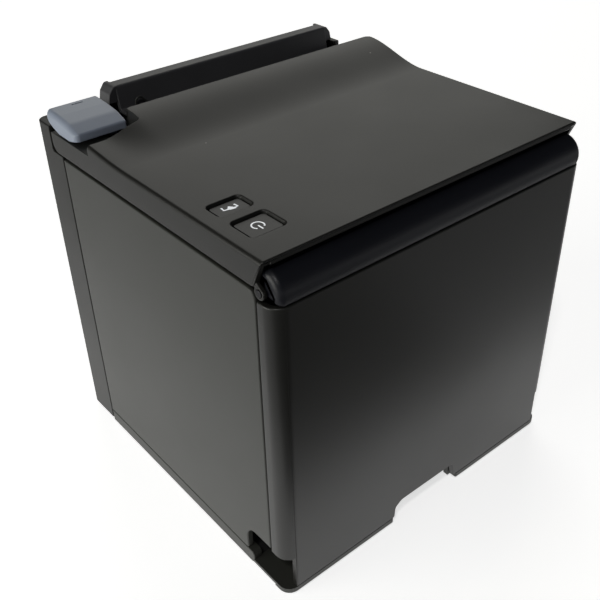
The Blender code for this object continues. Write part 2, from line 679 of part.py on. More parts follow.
def build_platen():
    """Rubber roller on a steel shaft, with a bearing at each end and a gear on the left."""
    origin = (0, *PLATEN)
    shaft = turned([(-42.3, 1.8), (-42.1, SHAFT_R), (56.0, SHAFT_R), (56.2, 1.8)], "x", PLATEN)
    node("platen_shaft", shaft, "sheet_steel", origin)
    roller = tube("x", PLATEN, PLATEN_R, SHAFT_R + GAP, PAPER_X[0], PAPER_X[1], 40)
    node("platen_roller", roller, "roller_rubber", origin)
    for name, low, high in (("left", -35.8, -33.6), ("right", 53.8, 56.1)):
        bearing = tube("x", PLATEN, BEARING_R, SHAFT_R + 0.1, low, high, 24)
        node(f"platen_bearing_{name}", bearing, "gear_plastic", origin)


def build_gears():
    """Motor pinion, idler and platen gear, meshed at rest."""
    idler, pinion = gear_centres()
    to_platen = 90 + IDLER_LEAN
    to_pinion = -90 + PINION_LEAN
    idler_pitch = 360 / IDLER_TEETH
    platen_phase = to_platen + 180 + 180 / PLATEN_TEETH
    off_tooth = (to_pinion - to_platen) % idler_pitch
    shift = -off_tooth * IDLER_TEETH / PINION_TEETH
    pinion_phase = to_pinion + 180 - shift + 180 / PINION_TEETH
    low, high = GEAR_X
    trains = (
        ("platen_gear", PLATEN_TEETH, platen_phase, PLATEN, SHAFT_R + GAP),
        ("idler_gear", IDLER_TEETH, to_platen, idler, 1.6),
        ("motor_pinion", PINION_TEETH, pinion_phase, pinion, 1.1),
    )
    for name, teeth, phase, centre, bore in trains:
        node(name, gear(teeth, phase, "x", centre, bore, low, high), "gear_plastic", (0, *centre))
    motor = [(-41.4, 1.0), (-33.7, 1.0), (-33.7, 4.0), (-33.3, 4.0), (-33.3, 12.0), (-16.0, 12.0)]
    node("feed_motor", turned(motor, "x", pinion, 32), "heat_sink_aluminium", (0, *pinion))


# ---------------------------------------------------------------- cutter

def build_cutter():
    """Fixed tear bar on the lid, and a V-edged blade that a rack and pinion drives under it."""
    node("tear_bar", box(-31.0, 51.5, 37.4, 43.4, 121.1, 121.9), "sheet_steel", (0, *HINGE))
    x_low, x_high = BLADE_X
    middle = (x_low + x_high) / 2
    edge = [
        (x_low, 45.4), (middle, 48.0), (x_high, 45.4), (x_high, 58.0), (x_low, 58.0),
    ]
    node("cutter_blade", prism(edge, "z", *BLADE_Z), "sheet_steel")
    pitch = math.pi * MODULE
    radius = MODULE * CUTTER_TEETH / 2
    axle = (CUTTER_Y, RACK_PITCH_Z - radius)
    rack = [(58.6, BLADE_Z[0] - GAP), (48.4, BLADE_Z[0] - GAP)]
    first = -2
    for index in range(first, first + 5):
        tooth_y = CUTTER_Y + (index + 0.5) * pitch
        for share, height in ((-0.62, 1.2), (-0.32, -1.0), (0.32, -1.0), (0.62, 1.2)):
            rack.append((tooth_y + share * pitch * TOOTH_WIDTH, RACK_PITCH_Z + height * MODULE))
    rack.insert(2, (48.4, RACK_PITCH_Z + 1.2 * MODULE))
    rack.append((58.6, RACK_PITCH_Z + 1.2 * MODULE))
    node("cutter_rack", prism(rack, "x", *RACK_X), "gear_plastic")
    wheel = gear(CUTTER_TEETH, 90, "x", axle, 1.1, *RACK_X)
    node("cutter_pinion", wheel, "gear_plastic", (0, *axle))
    motor = [(19.6, 1.0), (26.6, 1.0), (26.6, 4.8), (50.0, 4.8)]
    node("cutter_motor", turned(motor, "x", axle, 32), "heat_sink_aluminium", (0, *axle))


# ---------------------------------------------------------------- electronics

def build_electronics():
    """Main board on the floor, with the sockets that open into the cable bay."""
    node("main_board", box(-33, 53, -11, 57, 4.3, 5.9), "board_green")
    front, back = SOCKET_Y
    for name, ((x_low, x_high), top, width, height, middle_z) in SOCKETS.items():
        socket = node(name, box(x_low, x_high, front, back, SOCKET_Z, top), "socket_plastic")
        x = (x_low + x_high) / 2
        mouth_z = (middle_z - height / 2, middle_z + height / 2)
        cut(socket, box(x - width / 2, x + width / 2, front - 1, front + 12, *mouth_z))
        if name == "usb_socket":
            join(socket, box(x - 2.8, x + 2.8, front + 1.5, front + 12.5, middle_z - 1.6, middle_z + 1.6))


def main():
    for old in list(bpy.data.objects):
        bpy.data.objects.remove(old, do_unlink=True)
    build_base()
    build_feet_and_screws()
    build_side_panels()
    build_front()
    build_rear()
    build_lid_cover()
    build_hinge_pins()
    build_lid_inner_frame()
    build_buttons()
    build_lever()
    build_latch()
    build_roll_bay()
    build_mechanism_frame()
    build_thermal_head()
    build_platen()
    build_gears()
    build_cutter()
    build_electronics()


main()
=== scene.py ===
# %% [markdown]
# # A compact receipt printer
#
# This file dresses a working printer model. The frame that it loads already holds every moving part
# at its real size, so each step below only makes a finer surface around one of those parts and a
# finish for it. Shapes could be pulled about by hand in the viewport, but worked out with numpy, in
# millimetres that become metres at the end, they stay tied to the frame's own measures.

# %% Load the frame
import json
import math

import bpy
import mathutils
import numpy as np
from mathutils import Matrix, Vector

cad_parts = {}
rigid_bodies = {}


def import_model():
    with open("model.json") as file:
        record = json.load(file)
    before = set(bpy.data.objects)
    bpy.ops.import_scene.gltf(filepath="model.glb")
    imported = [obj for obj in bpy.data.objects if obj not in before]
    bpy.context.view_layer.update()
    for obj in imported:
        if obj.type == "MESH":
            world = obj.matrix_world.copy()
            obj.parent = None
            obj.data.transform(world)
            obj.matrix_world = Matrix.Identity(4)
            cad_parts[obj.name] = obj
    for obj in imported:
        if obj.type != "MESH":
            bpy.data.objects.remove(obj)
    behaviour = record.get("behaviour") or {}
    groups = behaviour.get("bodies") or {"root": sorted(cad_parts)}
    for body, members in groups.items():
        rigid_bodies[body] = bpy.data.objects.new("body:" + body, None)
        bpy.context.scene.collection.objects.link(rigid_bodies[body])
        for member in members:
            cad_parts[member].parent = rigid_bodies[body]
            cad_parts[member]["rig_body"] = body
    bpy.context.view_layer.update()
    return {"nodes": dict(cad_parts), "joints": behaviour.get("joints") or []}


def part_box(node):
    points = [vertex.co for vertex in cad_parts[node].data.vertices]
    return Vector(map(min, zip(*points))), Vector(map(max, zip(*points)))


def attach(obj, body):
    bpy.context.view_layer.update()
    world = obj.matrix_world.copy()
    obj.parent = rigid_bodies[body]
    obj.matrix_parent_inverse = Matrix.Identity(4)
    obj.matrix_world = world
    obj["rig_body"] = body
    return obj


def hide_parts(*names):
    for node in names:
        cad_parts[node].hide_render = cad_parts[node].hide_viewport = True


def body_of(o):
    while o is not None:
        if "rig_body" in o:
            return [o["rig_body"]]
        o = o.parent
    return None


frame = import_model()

MM = 0.001

# %% [markdown]
# ## Measuring from the frame
#
# Every place comes from the frame. A corner pair of a piece says where its finer version goes, and a
# joint says where it turns, so nothing has to be fitted afterwards.

# %% Places taken from the frame
def corners(node):
    """Lowest and highest corner of a piece of the frame, in millimetres."""
    low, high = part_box(node)
    return np.array(low) / MM, np.array(high) / MM


def middle(node):
    """Centre of a piece of the frame, in millimetres."""
    low, high = corners(node)
    return (low + high) / 2


def pivot(joint):
    """The y and z of a hinge line that runs along X, in millimetres."""
    found = next(j for j in frame["joints"] if j["name"] == joint)
    return np.array(found["pos_m"][1:]) / MM


HALF = corners("front_cover")[1][0]
HINGE = pivot("lid_hinge")
LATCH = pivot("lever_pivot")
PLATEN = pivot("platen_spin")
WALL = 2.0
print("half width", HALF, "hinge", HINGE, "latch", LATCH, "platen", PLATEN)

# %% [markdown]
# ## Outlines
#
# Most moulded covers start as an outline drawn on paper. Straight runs only need their ends, and a
# round corner is a sweep of the line from its centre to the outline, so both come from short formulas.
# Bezier curves could draw the same, but here each radius stays a number that can be read and changed.

# %% Outline helpers
def arc(centre, radius, start, end, steps=12):
    """Points centre + radius (cos a, sin a), with a going from start to end in degrees."""
    angle = np.radians(np.linspace(start, end, steps + 1))
    return np.column_stack([centre[0] + radius * np.cos(angle), centre[1] + radius * np.sin(angle)])


def unit(vector):
    return vector / np.linalg.norm(vector)


def rounded(corner_list, steps=6):
    """Closed outline through (a, b, radius) corners.

    The spoke from a corner's centre swings from one straight run to the next: at share s it is
    (sin((1 - s) w) first + sin(s w) last) / sin w, where w is the angle that it swings through.
    """
    listed = np.array(corner_list, float)
    stretches = []
    for corner, before, after in zip(listed, np.roll(listed, 1, 0), np.roll(listed, -1, 0)):
        here, radius = corner[:2], corner[2]
        if radius == 0:
            stretches.append(here[None])
            continue
        back, ahead = unit(before[:2] - here), unit(after[:2] - here)
        half = np.arccos(np.clip(back @ ahead, -1, 1)) / 2
        centre = here + unit(back + ahead) * radius / np.sin(half)
        first = here + back * radius / np.tan(half) - centre
        last = here + ahead * radius / np.tan(half) - centre
        swing = np.pi - 2 * half
        share = np.linspace(0, 1, steps + 1)[:, None]
        spoke = np.sin((1 - share) * swing) * first + np.sin(share * swing) * last
        stretches.append(centre + spoke / np.sin(swing))
    return np.vstack(stretches)


def rectangle(a0, a1, b0, b1, radius=0.0):
    """Rectangle outline with the same radius at each corner."""
    return rounded([(a0, b0, radius), (a1, b0, radius), (a1, b1, radius), (a0, b1, radius)])


def area(outline):
    """Signed area: half the sum of a b' - a' b over neighbouring points."""
    after = np.roll(outline, -1, 0)
    return 0.5 * float(np.sum(outline[:, 0] * after[:, 1] - after[:, 0] * outline[:, 1]))


def inset(outline, depth):
    """Each point moved in along (n1 + n2) / (1 + n1.n2), where n1 and n2 face in from its two sides."""
    ahead = np.roll(outline, -1, 0) - outline
    ahead = ahead / np.linalg.norm(ahead, axis=1)[:, None]
    inward = np.column_stack([-ahead[:, 1], ahead[:, 0]]) * np.sign(area(outline))
    behind = np.roll(inward, 1, 0)
    mitre = (inward + behind) / (1 + np.sum(inward * behind, 1))[:, None]
    return outline + depth * mitre


print("a rounded square has", len(rectangle(0, 1, 0, 1, 0.2)), "points")

# %% [markdown]
# ## Solids from sections
#
# A moulding is a row of sections, each a closed ring of points, joined ring to ring and closed at
# both ends. Real mouldings have no knife edges, so the first and last few rings are tucked in a
# little, which gives the rim a radius that catches the light.

# %% Ring helpers
def solid(name, points, faces):
    """Object at the origin from points in millimetres."""
    mesh = bpy.data.meshes.new(name)
    mesh.from_pydata((np.asarray(points, float) * MM).tolist(), [], faces)
    mesh.update()
    piece = bpy.data.objects.new(name, mesh)
    bpy.context.scene.collection.objects.link(piece)
    return piece


def ring_faces(rings, count, looped=False):
    """Quads between neighbouring rings. Open rows of rings get their first and last ring as caps."""
    last = rings if looped else rings - 1
    ring, spot = np.meshgrid(np.arange(last), np.arange(count), indexing="ij")
    above, after = (ring + 1) % rings, (spot + 1) % count
    ring, above = ring * count, above * count
    quads = np.stack([ring + spot, ring + after, above + after, above + spot], -1)
    faces = quads.reshape(-1, 4).tolist()
    if not looped:
        faces.append(list(range(count))[::-1])
        faces.append(list(range((rings - 1) * count, rings * count)))
    return faces


def across(axis, sections, places):
    """Sections (ring, point, 2) put into space across an axis, with one place along it for each ring."""
    a, b = sections[..., 0], sections[..., 1]
    along = np.broadcast_to(np.asarray(places, float)[:, None], a.shape)
    order = {"x": (along, a, b), "y": (a, along, b), "z": (a, b, along)}
    return np.stack(order[axis], -1).reshape(-1, 3)


def rim_rings(low, high, rim, steps=3):
    """Places along the axis and tuck depths for rims that are quarter circles.

    At angle t the ring has risen rim (1 - cos t) and is still tucked in by rim (1 - sin t). A pair of
    rims gives the low end and the high end a radius each, and an end with none gets a single ring.
    """
    low_rim, high_rim = rim if isinstance(rim, tuple) else (rim, rim)
    turn = np.linspace(0, np.pi / 2, steps + 1)
    places, tucks = [], []
    for end, sign, size in ((low, 1, low_rim), (high, -1, high_rim)):
        angle = turn if size > 0 else turn[-1:]
        place = end + sign * size * (1 - np.cos(angle))
        tuck = size * (1 - np.sin(angle))
        places.append(place[::sign])
        tucks.append(tuck[::sign])
    return np.concatenate(places), np.concatenate(tucks)


print("rim of 0.4 mm has rings at", np.round(rim_rings(0, 10, 0.4)[0], 2))

# %% [markdown]
# Three kinds of solid cover nearly every piece here. A slab is an outline carried straight along an
# axis, a turned piece is a profile that runs round one, and a swept piece is a circle that follows a
# path. Blender's Extrude, Spin and curve bevel make the same three, but by way of a selection or a
# second object, and these leave a closed mesh at once.

# %% Slabs, turned and swept pieces
def slab(name, outline, axis, low, high, rim=0.4, steps=3):
    """Outline extruded along an axis, with rounded rims."""
    outline = np.asarray(outline, float)
    if area(outline) * (-1 if axis == "y" else 1) < 0:
        outline = outline[::-1]
    places, tucks = rim_rings(low, high, rim, steps)
    sections = np.stack([inset(outline, tuck) if tuck > 0 else outline for tuck in tucks])
    return solid(name, across(axis, sections, places), ring_faces(len(places), len(outline)))


def block(name, x0, x1, y0, y1, z0, z1, rim=0.0):
    """Box between two corners, with rounded rims at the top and bottom where asked."""
    return slab(name, rectangle(x0, x1, y0, y1), "z", z0, z1, rim)


def turned(name, profile, axis, centre, segments=48, looped=False):
    """Profile of (place, radius) turned about an axis: each point runs round a circle of its radius."""
    profile = np.array(profile, float)
    angle = np.linspace(0, 2 * np.pi, segments, endpoint=False)
    if (profile[-1, 0] < profile[0, 0]) != (axis == "y") and not looped:
        angle = -angle
    ring = np.stack([np.cos(angle), np.sin(angle)], -1)
    sections = np.asarray(centre) + profile[:, 1][:, None, None] * ring
    piece = solid(name, across(axis, sections, profile[:, 0]), ring_faces(len(profile), segments, looped))
    return outward(piece) if looped else piece


def points_of(piece):
    """Every point of a piece in metres, one to a row."""
    flat = np.empty(len(piece.data.vertices) * 3)
    piece.data.vertices.foreach_get("co", flat)
    return flat.reshape(-1, 3)


def outward(piece):
    """Turn the faces of a closed mesh outwards: the volume, the sum of p0.(p1 x p2) / 6, has to be over 0."""
    mesh = piece.data
    mesh.calc_loop_triangles()
    index = np.empty(len(mesh.loop_triangles) * 3, np.int32)
    mesh.loop_triangles.foreach_get("vertices", index)
    corner = points_of(piece)[index.reshape(-1, 3)]
    if np.sum(corner[:, 0] * np.cross(corner[:, 1], corner[:, 2])) < 0:
        mesh.flip_normals()
    return piece


def swept(name, path, radius, sides=10):
    """Round wire: a circle of the radius carried along the path, square to its direction all the way.

    Side = ahead x lean and up = side x ahead, so the lean may be any direction that the path avoids.
    """
    path = np.asarray(path, float)
    ahead = np.gradient(path, axis=0)
    ahead /= np.linalg.norm(ahead, axis=1)[:, None]
    lean = np.array([0.3, 0.9, 0.2] if abs(ahead[0, 0]) > 0.5 else [1.0, 0.1, 0.2])
    side = np.cross(ahead, lean)
    side /= np.linalg.norm(side, axis=1)[:, None]
    up = np.cross(side, ahead)
    angle = np.linspace(0, 2 * np.pi, sides, endpoint=False)[None, :, None]
    points = path[:, None] + radius * (np.cos(angle) * side[:, None] + np.sin(angle) * up[:, None])
    return outward(solid(name, points.reshape(-1, 3), ring_faces(len(path), sides)))


print("a rounded slab has rings of", len(rectangle(0, 1, 0, 1, 0.2)), "points at each of",
      len(rim_rings(0, 10, 0.4)[0]), "places")

# %% [markdown]
# ## Holes, joins and soft edges
#
# Where a cover has a hole or a boss, it is simplest to make both shapes whole and let a Boolean
# work out where they meet. The result becomes the piece's own mesh at once, so that nothing live is
# left behind. A narrow bevel then takes the knife edge off every cut, as a mould does.

# %% Boolean and bevel helpers
WELD = 0.04


def settle(piece):
    """Make what the modifiers give the piece's own mesh."""
    graph = bpy.context.evaluated_depsgraph_get()
    piece.data = bpy.data.meshes.new_from_object(piece.evaluated_get(graph))
    piece.modifiers.clear()
    return piece


def changed(piece, how, tools):
    """One exact Boolean for each tool, after which the tools are thrown away."""
    for index, tool in enumerate(tools):
        change = piece.modifiers.new(f"change_{index}", "BOOLEAN")
        change.object = tool
        change.operation = how
        change.solver = "EXACT"
    settle(piece)
    for tool in tools:
        bpy.data.objects.remove(tool, do_unlink=True)
    return piece


def cut(piece, *tools):
    return changed(piece, "DIFFERENCE", tools)


def join(piece, *tools):
    return changed(piece, "UNION", tools)


def keep(piece, *tools):
    return changed(piece, "INTERSECT", tools)


def softened(piece, width=0.25, segments=2, angle=40):
    """Bevel every edge sharper than the angle, without letting a short edge stop the rest.

    At a sliver such a bevel can throw a point out, so every point is held inside the piece's own box.
    """
    before = points_of(piece)
    weld = piece.modifiers.new("weld", "WELD")
    weld.merge_threshold = WELD * MM
    edge = piece.modifiers.new("soft_edges", "BEVEL")
    edge.width = width * MM
    edge.segments = segments
    edge.limit_method = "ANGLE"
    edge.angle_limit = math.radians(angle)
    edge.use_clamp_overlap = False
    settle(piece)
    held = np.clip(points_of(piece), before.min(0), before.max(0))
    piece.data.vertices.foreach_set("co", held.ravel())
    piece.data.update()
    return piece


def fitted(piece, finish, *nodes, body="case", slot="case_plastic", sharp=38):
    """Give a piece its finish, let it ride on its body, and hide the plain pieces that it stands for.

    A flat face that borders a rounded rim would shade as if it were bent, so the large faces get
    most of the say in the normals that they share with small ones.
    """
    piece.data.materials.clear()
    piece.data.materials.append(finishes[finish])
    piece.data.shade_smooth()
    piece.data.set_sharp_from_angle(angle=math.radians(sharp))
    even = piece.modifiers.new("even_normals", "WEIGHTED_NORMAL")
    even.keep_sharp = True
    even.weight = 100
    settle(piece)
    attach(piece, body)
    if nodes:
        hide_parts(*nodes)
    print(f"{piece.name}: {len(piece.data.polygons)} faces on {body}")
    return piece


print("welds points closer than", WELD, "mm")

# %% [markdown]
# ## Finishes
#
# The case is near-black plastic from a spark-eroded mould, so its skin is a fine, shallow grain. A
# noise gives that grain as bump, a broader one makes the gloss uneven where hands have polished it,
# and a sparse Voronoi leaves the odd speck of dust. All of it reads Object coordinates, which stay
# with the piece as it moves; a picture of the grain would stretch wherever the surface bends.

# %% Node helpers
def wired(name):
    """New material with its shader, and short helpers to add and link nodes."""
    made = bpy.data.materials.new(name)
    made.use_nodes = True
    tree = made.node_tree
    shader = tree.nodes["Principled BSDF"]

    def add(kind, **values):
        node = tree.nodes.new(kind)
        for key, value in values.items():
            if key in node.inputs:
                node.inputs[key].default_value = value
            else:
                setattr(node, key, value)
        return node

    def link(source, output, target, socket):
        tree.links.new(source.outputs[output], target.inputs[socket])

    return made, shader, add, link


def spread_range(add, link, source, output, low, high, to_low, to_high):
    """Map Range node that turns low..high into to_low..to_high."""
    ranged = add("ShaderNodeMapRange")
    for socket, value in (("From Min", low), ("From Max", high), ("To Min", to_low), ("To Max", to_high)):
        ranged.inputs[socket].default_value = value
    link(source, output, ranged, "Value")
    return ranged


NOISE_RANGE = (0.3, 0.7)
DUST, DUST_SCALE = (0.22, 0.215, 0.20), 150.0


def skin(shader, add, link, grainy, depth, patchy, rough, rougher):
    """Bump as deep as the depth in millimetres from one noise, and uneven roughness from another."""
    bump = add("ShaderNodeBump", Strength=1.0, Distance=depth * MM)
    link(grainy, "Fac", bump, "Height")
    link(bump, "Normal", shader, "Normal")
    uneven = spread_range(add, link, patchy, "Fac", *NOISE_RANGE, rough, rougher)
    link(uneven, "Result", shader, "Roughness")


def dusted(add, link, place, plain, amount):
    """Specks on a plain colour: the middles of the share of the Voronoi cells that the amount names."""
    cells = add("ShaderNodeTexVoronoi", Scale=DUST_SCALE)
    link(place, "Object", cells, "Vector")
    tone = add("ShaderNodeSeparateColor")
    link(cells, "Color", tone, "Color")
    chosen = spread_range(add, link, tone, "Red", 1 - amount, 1 - amount + 0.01, 0.0, 1.0)
    near = spread_range(add, link, cells, "Distance", 0.03, 0.05, 1.0, 0.0)
    speck = add("ShaderNodeMath", operation="MULTIPLY")
    link(chosen, "Result", speck, 0)
    link(near, "Result", speck, 1)
    dusty = add("ShaderNodeMix", data_type="RGBA")
    dusty.inputs["B"].default_value = (*DUST, 1.0)
    link(plain, "Result", dusty, "A")
    link(speck, "Value", dusty, "Factor")
    return dusty


print("noise is read between", *NOISE_RANGE, "and dust has", DUST_SCALE, "cells to the metre")

# %% [markdown]
# A plastic takes its colour from the broad noise too, a little darker here and lighter there, since
# no moulding is one even tone. A metal has no colour to vary: its grain is drawn out one way instead,
# which is what tells rolled sheet from a turned pin.

# %% Plastic and metal
def plastic(name, colour, gloss, grain=0.35, depth=0.010, unevenness=0.05, mottle=0.12, dust=0.0,
            shine=0.5):
    """Moulded plastic. Grain and depth are in millimetres; gloss is the roughness."""
    made, shader, add, link = wired(name)
    place = add("ShaderNodeTexCoord")
    fine = add("ShaderNodeTexNoise", Scale=1000 / grain, Detail=3.0, Roughness=0.6)
    broad = add("ShaderNodeTexNoise", Scale=28.0, Detail=4.0, Roughness=0.55)
    link(place, "Object", fine, "Vector")
    link(place, "Object", broad, "Vector")
    skin(shader, add, link, fine, depth, broad, gloss - unevenness, gloss + unevenness)
    shader.inputs["Specular IOR Level"].default_value = shine
    mix = add("ShaderNodeMix", data_type="RGBA")
    mix.inputs["A"].default_value = (*(c * (1 - mottle) for c in colour), 1.0)
    mix.inputs["B"].default_value = (*(c * (1 + mottle) for c in colour), 1.0)
    share = spread_range(add, link, broad, "Fac", *NOISE_RANGE, 0.0, 1.0)
    link(share, "Result", mix, "Factor")
    last = dusted(add, link, place, mix, dust) if dust > 0 else mix
    link(last, "Result", shader, "Base Color")
    return made


def metal(name, colour, gloss, stretch=(1.0, 1.0, 1.0), grain=0.5, depth=0.004):
    """Metal whose grain is a noise stretched along the way that it was rolled or turned."""
    made, shader, add, link = wired(name)
    shader.inputs["Metallic"].default_value = 1.0
    shader.inputs["Base Color"].default_value = (*colour, 1.0)
    place = add("ShaderNodeTexCoord")
    scaled = add("ShaderNodeMapping")
    scaled.inputs["Scale"].default_value = stretch
    grainy = add("ShaderNodeTexNoise", Scale=1000 / grain, Detail=4.0, Roughness=0.6)
    link(place, "Object", scaled, "Vector")
    link(scaled, "Vector", grainy, "Vector")
    skin(shader, add, link, grainy, depth, grainy, gloss - 0.06, gloss + 0.08)
    return made


CASE = (0.0102, 0.0102, 0.0086)
CASE_SKIN = {"unevenness": 0.02, "mottle": 0.06}
finishes = {
    "lid": plastic("lid_plastic", CASE, 0.43, dust=0.05, shine=0.42, **CASE_SKIN),
    # Partly painted light: the panels are three times lighter than the case colour, partly their own tone and
    # partly standing for the bright light on the left side.
    "panel": plastic("panel_plastic_partly_painted_light", (0.0300, 0.0310, 0.0265), 0.48, dust=0.02, unevenness=0.02,
                     mottle=0.05),
    "cover": plastic("cover_plastic", CASE, 0.38, dust=0.02, **CASE_SKIN),
    "rear": plastic("rear_plastic", CASE, 0.46, dust=0.02, shine=0.38, **CASE_SKIN),
    "bar": plastic("bar_plastic", (0.0068, 0.0074, 0.0108), 0.42, grain=0.6, depth=0.035,
                   unevenness=0.03, shine=0.40),
    # Painted light: the wall behind the paper slot is six times lighter than the case colour, to brighten a
    # face that its place leaves in shade.
    "wall": plastic("wall_plastic_painted_light", (0.060, 0.060, 0.064), 0.48, grain=0.5),
    "inner": plastic("inner_plastic", (0.018, 0.018, 0.0185), 0.52, grain=0.6),
    "button": plastic("button_plastic", (0.0115, 0.0115, 0.0112), 0.42, grain=0.3),
    "lever": plastic("lever_plastic", (0.286, 0.326, 0.405), 0.34, grain=0.3, depth=0.006, unevenness=0.03,
                     mottle=0.05),
    "print": plastic("glowing_white_print", (0.80, 0.80, 0.80), 0.5, grain=0.4, depth=0.004, mottle=0.02),
    "rubber": plastic("foot_rubber", (0.014, 0.014, 0.014), 0.82, grain=0.8, depth=0.02),
    "roller": plastic("roller_rubber", (0.030, 0.030, 0.032), 0.66, grain=0.5, depth=0.01),
    "gear": plastic("gear_nylon", (0.66, 0.65, 0.59), 0.42, grain=0.6, depth=0.005, mottle=0.04),
    "board": plastic("board_lacquer", (0.012, 0.085, 0.036), 0.34, grain=1.6, depth=0.006, mottle=0.18),
    "socket": plastic("socket_plastic", (0.022, 0.022, 0.023), 0.42, grain=0.5),
    "ceramic": plastic("head_ceramic", (0.40, 0.36, 0.30), 0.24, grain=2.0, depth=0.003, mottle=0.05),
    "glaze": plastic("head_glaze", (0.10, 0.06, 0.03), 0.12, grain=2.0, depth=0.001, mottle=0.03),
    "steel": metal("sheet_steel", (0.52, 0.53, 0.54), 0.34, stretch=(0.06, 1.0, 1.0)),
    "bright": metal("turned_steel", (0.60, 0.60, 0.61), 0.24, stretch=(1.0, 0.2, 0.2)),
    "black_steel": metal("black_steel", (0.030, 0.030, 0.032), 0.40, stretch=(1.0, 0.2, 0.2)),
    "aluminium": metal("heat_sink_aluminium", (0.66, 0.67, 0.68), 0.40, stretch=(0.1, 1.0, 1.0),
                       depth=0.006),
    "gold": metal("contact_gold", (0.83, 0.60, 0.24), 0.25),
}
# Painted light: the printed signs glow by themselves, so they stay bright white whatever the lamps do.
white = finishes["print"].node_tree.nodes["Principled BSDF"]
white.inputs["Emission Color"].default_value = (0.90, 0.95, 1.0, 1.0)
white.inputs["Emission Strength"].default_value = 0.45
print("finishes:", ", ".join(sorted(finishes)))

# %% [markdown]
# ## The lid
#
# The lid is the piece that the eye meets first: a thin shell, level at the front, that swoops up in
# an S towards the paper slot, with a skirt down each side. A box could be cut, lifted and smoothed
# into this, but its wall would come out uneven. So its section is always the same ring, outer skin
# one way and inner skin back, and only the height of its top changes with depth. Near the lever the
# swoop fades away towards the left side, so the height depends on both x and y.

# %% Height of the lid
LID_HIGH = corners("lid_cover")[1]
LEVER_LOW, LEVER_HIGH = corners("lever")
LID_TOP = 125.0
LID_REAR = 37.0
LID_FRONT = -58.9
SWOOP = (8.0, 36.0)
LEFT_SHARE = 0.3
RECESS = (-44.0, 28.0)
SKIRT_WALL = 1.6
SKIRT_BOTTOM = 116.2
SKIRT_REAR = 53.3
SHELF = (121.9, 123.0)


def smooth(value, low, high):
    """Smoothstep: 3 s^2 - 2 s^3 of the share s of the way from low to high."""
    share = np.clip((value - low) / (high - low), 0, 1)
    return share * share * (3 - 2 * share)


def lid_height(x, y):
    """Level top plus a rise that is a smoothstep in y, of which the left share is left by the lever."""
    rise = LID_HIGH[2] - LID_TOP
    share = LEFT_SHARE + (1 - LEFT_SHARE) * smooth(x, LEVER_LOW[0] + 5.1, RECESS[0] + 0.6)
    return LID_TOP + rise * smooth(y, *SWOOP) * share


print("lid height in front, half way up and behind:", lid_height(10.0, np.array([LID_FRONT, 22.0, LID_REAR])))

# %% [markdown]
# The shell is one long loft from front to rear, with rings close together on the swoop and far apart
# on the level. The space for the lever is then taken from its rear left corner with a plan outline.

# %% Lid shell
SKIRT_EDGE = -99


def lid_shell():
    """Ring of the lid: up the left skirt, over the top, down the right skirt, and back inside.

    A point of the top sits at lid_height(x, y) plus its drop, and one marked as the edge of a skirt
    sits at the bottom of the skirt.
    """
    edge, inner_x = 1.3, HALF - SKIRT_WALL
    fall = arc((-HALF + edge, -edge), edge, 180, 90, 6)
    over = np.column_stack([np.linspace(-HALF + edge, HALF - edge, 70)[1:-1], np.zeros(68)])
    mirrored = (fall * (-1, 1))[::-1]
    outer = np.vstack([[(-HALF, SKIRT_EDGE)], fall, over, mirrored, [(HALF, SKIRT_EDGE)]])
    under = np.column_stack([np.linspace(inner_x, -inner_x, 60), np.full(60, -WALL)])
    inner = np.vstack([[(inner_x, SKIRT_EDGE)], under, [(-inner_x, SKIRT_EDGE)]])
    ring = np.vstack([outer, inner])[::-1]
    depth = np.concatenate([np.linspace(LID_FRONT, SWOOP[0], 8)[:-1], np.linspace(SWOOP[0], LID_REAR, 34)])
    places, tucks = rim_rings(depth[0], depth[-1], 0.5)
    between = depth[(depth > places[3]) & (depth < places[4])]
    places = np.concatenate([places[:4], between, places[4:]])
    tucks = np.concatenate([tucks[:4], np.zeros(len(between)), tucks[4:]])
    height = lid_height(ring[None, :, 0], places[:, None])
    z = np.where(ring[None, :, 1] == SKIRT_EDGE, SKIRT_BOTTOM, height + ring[None, :, 1])
    x = np.broadcast_to(ring[None, :, 0], z.shape)
    sections = np.stack([x, z], -1)
    sections = np.stack([inset(s, t) if t > 0 else s for s, t in zip(sections, tucks)])
    return solid("lid_cover_shell", across("y", sections, places), ring_faces(len(places), len(ring)))


def skirt_tongue(name, side, low_y):
    """Low tail of a skirt behind the lid, with a round lower corner."""
    outline = rounded([
        (low_y, SKIRT_BOTTOM, 0), (SKIRT_REAR, SKIRT_BOTTOM, 3.2), (SKIRT_REAR, SHELF[1], 0.8),
        (low_y, SHELF[1], 0),
    ])
    low, high = sorted((side * HALF, side * (HALF - SKIRT_WALL)))
    return slab(name, outline, "x", low, high, 0)


lid = lid_shell()
plan = rounded([
    (-HALF - 1, LID_FRONT - 1, 0), (HALF + 0.3, LID_FRONT - 1, 0), (HALF + 0.3, LID_REAR + 0.01, 4.5),
    (RECESS[0], LID_REAR + 0.01, 1.0), (RECESS[0], RECESS[1], 1.5), (-HALF - 1, RECESS[1], 0),
])
BELOW_LID, ABOVE_LID = 110, 140
keep(lid, slab("plan", plan, "z", BELOW_LID, ABOVE_LID, 0))
print("lid shell:", len(lid.data.polygons), "faces")

# %% [markdown]
# The skirts end in front on a slant, just above the round bar, and a small round ear reaches down
# from each to the hinge pin. At the back they run on as low tongues under the lever and beside the
# paper slot. The loft could carry all that only with many more points in its ring, while these are
# simple outlines seen from the side, so they are cut and joined as slabs.

# %% Skirt ends, ears and lever recess
def skirt_wedge(side):
    """The corner that is missing in front of a skirt's slanted end."""
    outline = rounded([
        (-66, LID_TOP - 0.7, 0), (LID_FRONT + 0.15, LID_TOP - 0.7, 0), (-55.2, SKIRT_BOTTOM - 0.01, 1.6),
        (-50, SKIRT_BOTTOM - 0.01, 0), (-50, BELOW_LID, 0), (-66, BELOW_LID, 0),
    ])
    low, high = sorted((side * (HALF - SKIRT_WALL - 1.5), side * (HALF + 1)))
    return slab(f"wedge_{side}", outline, "x", low, high, 0)


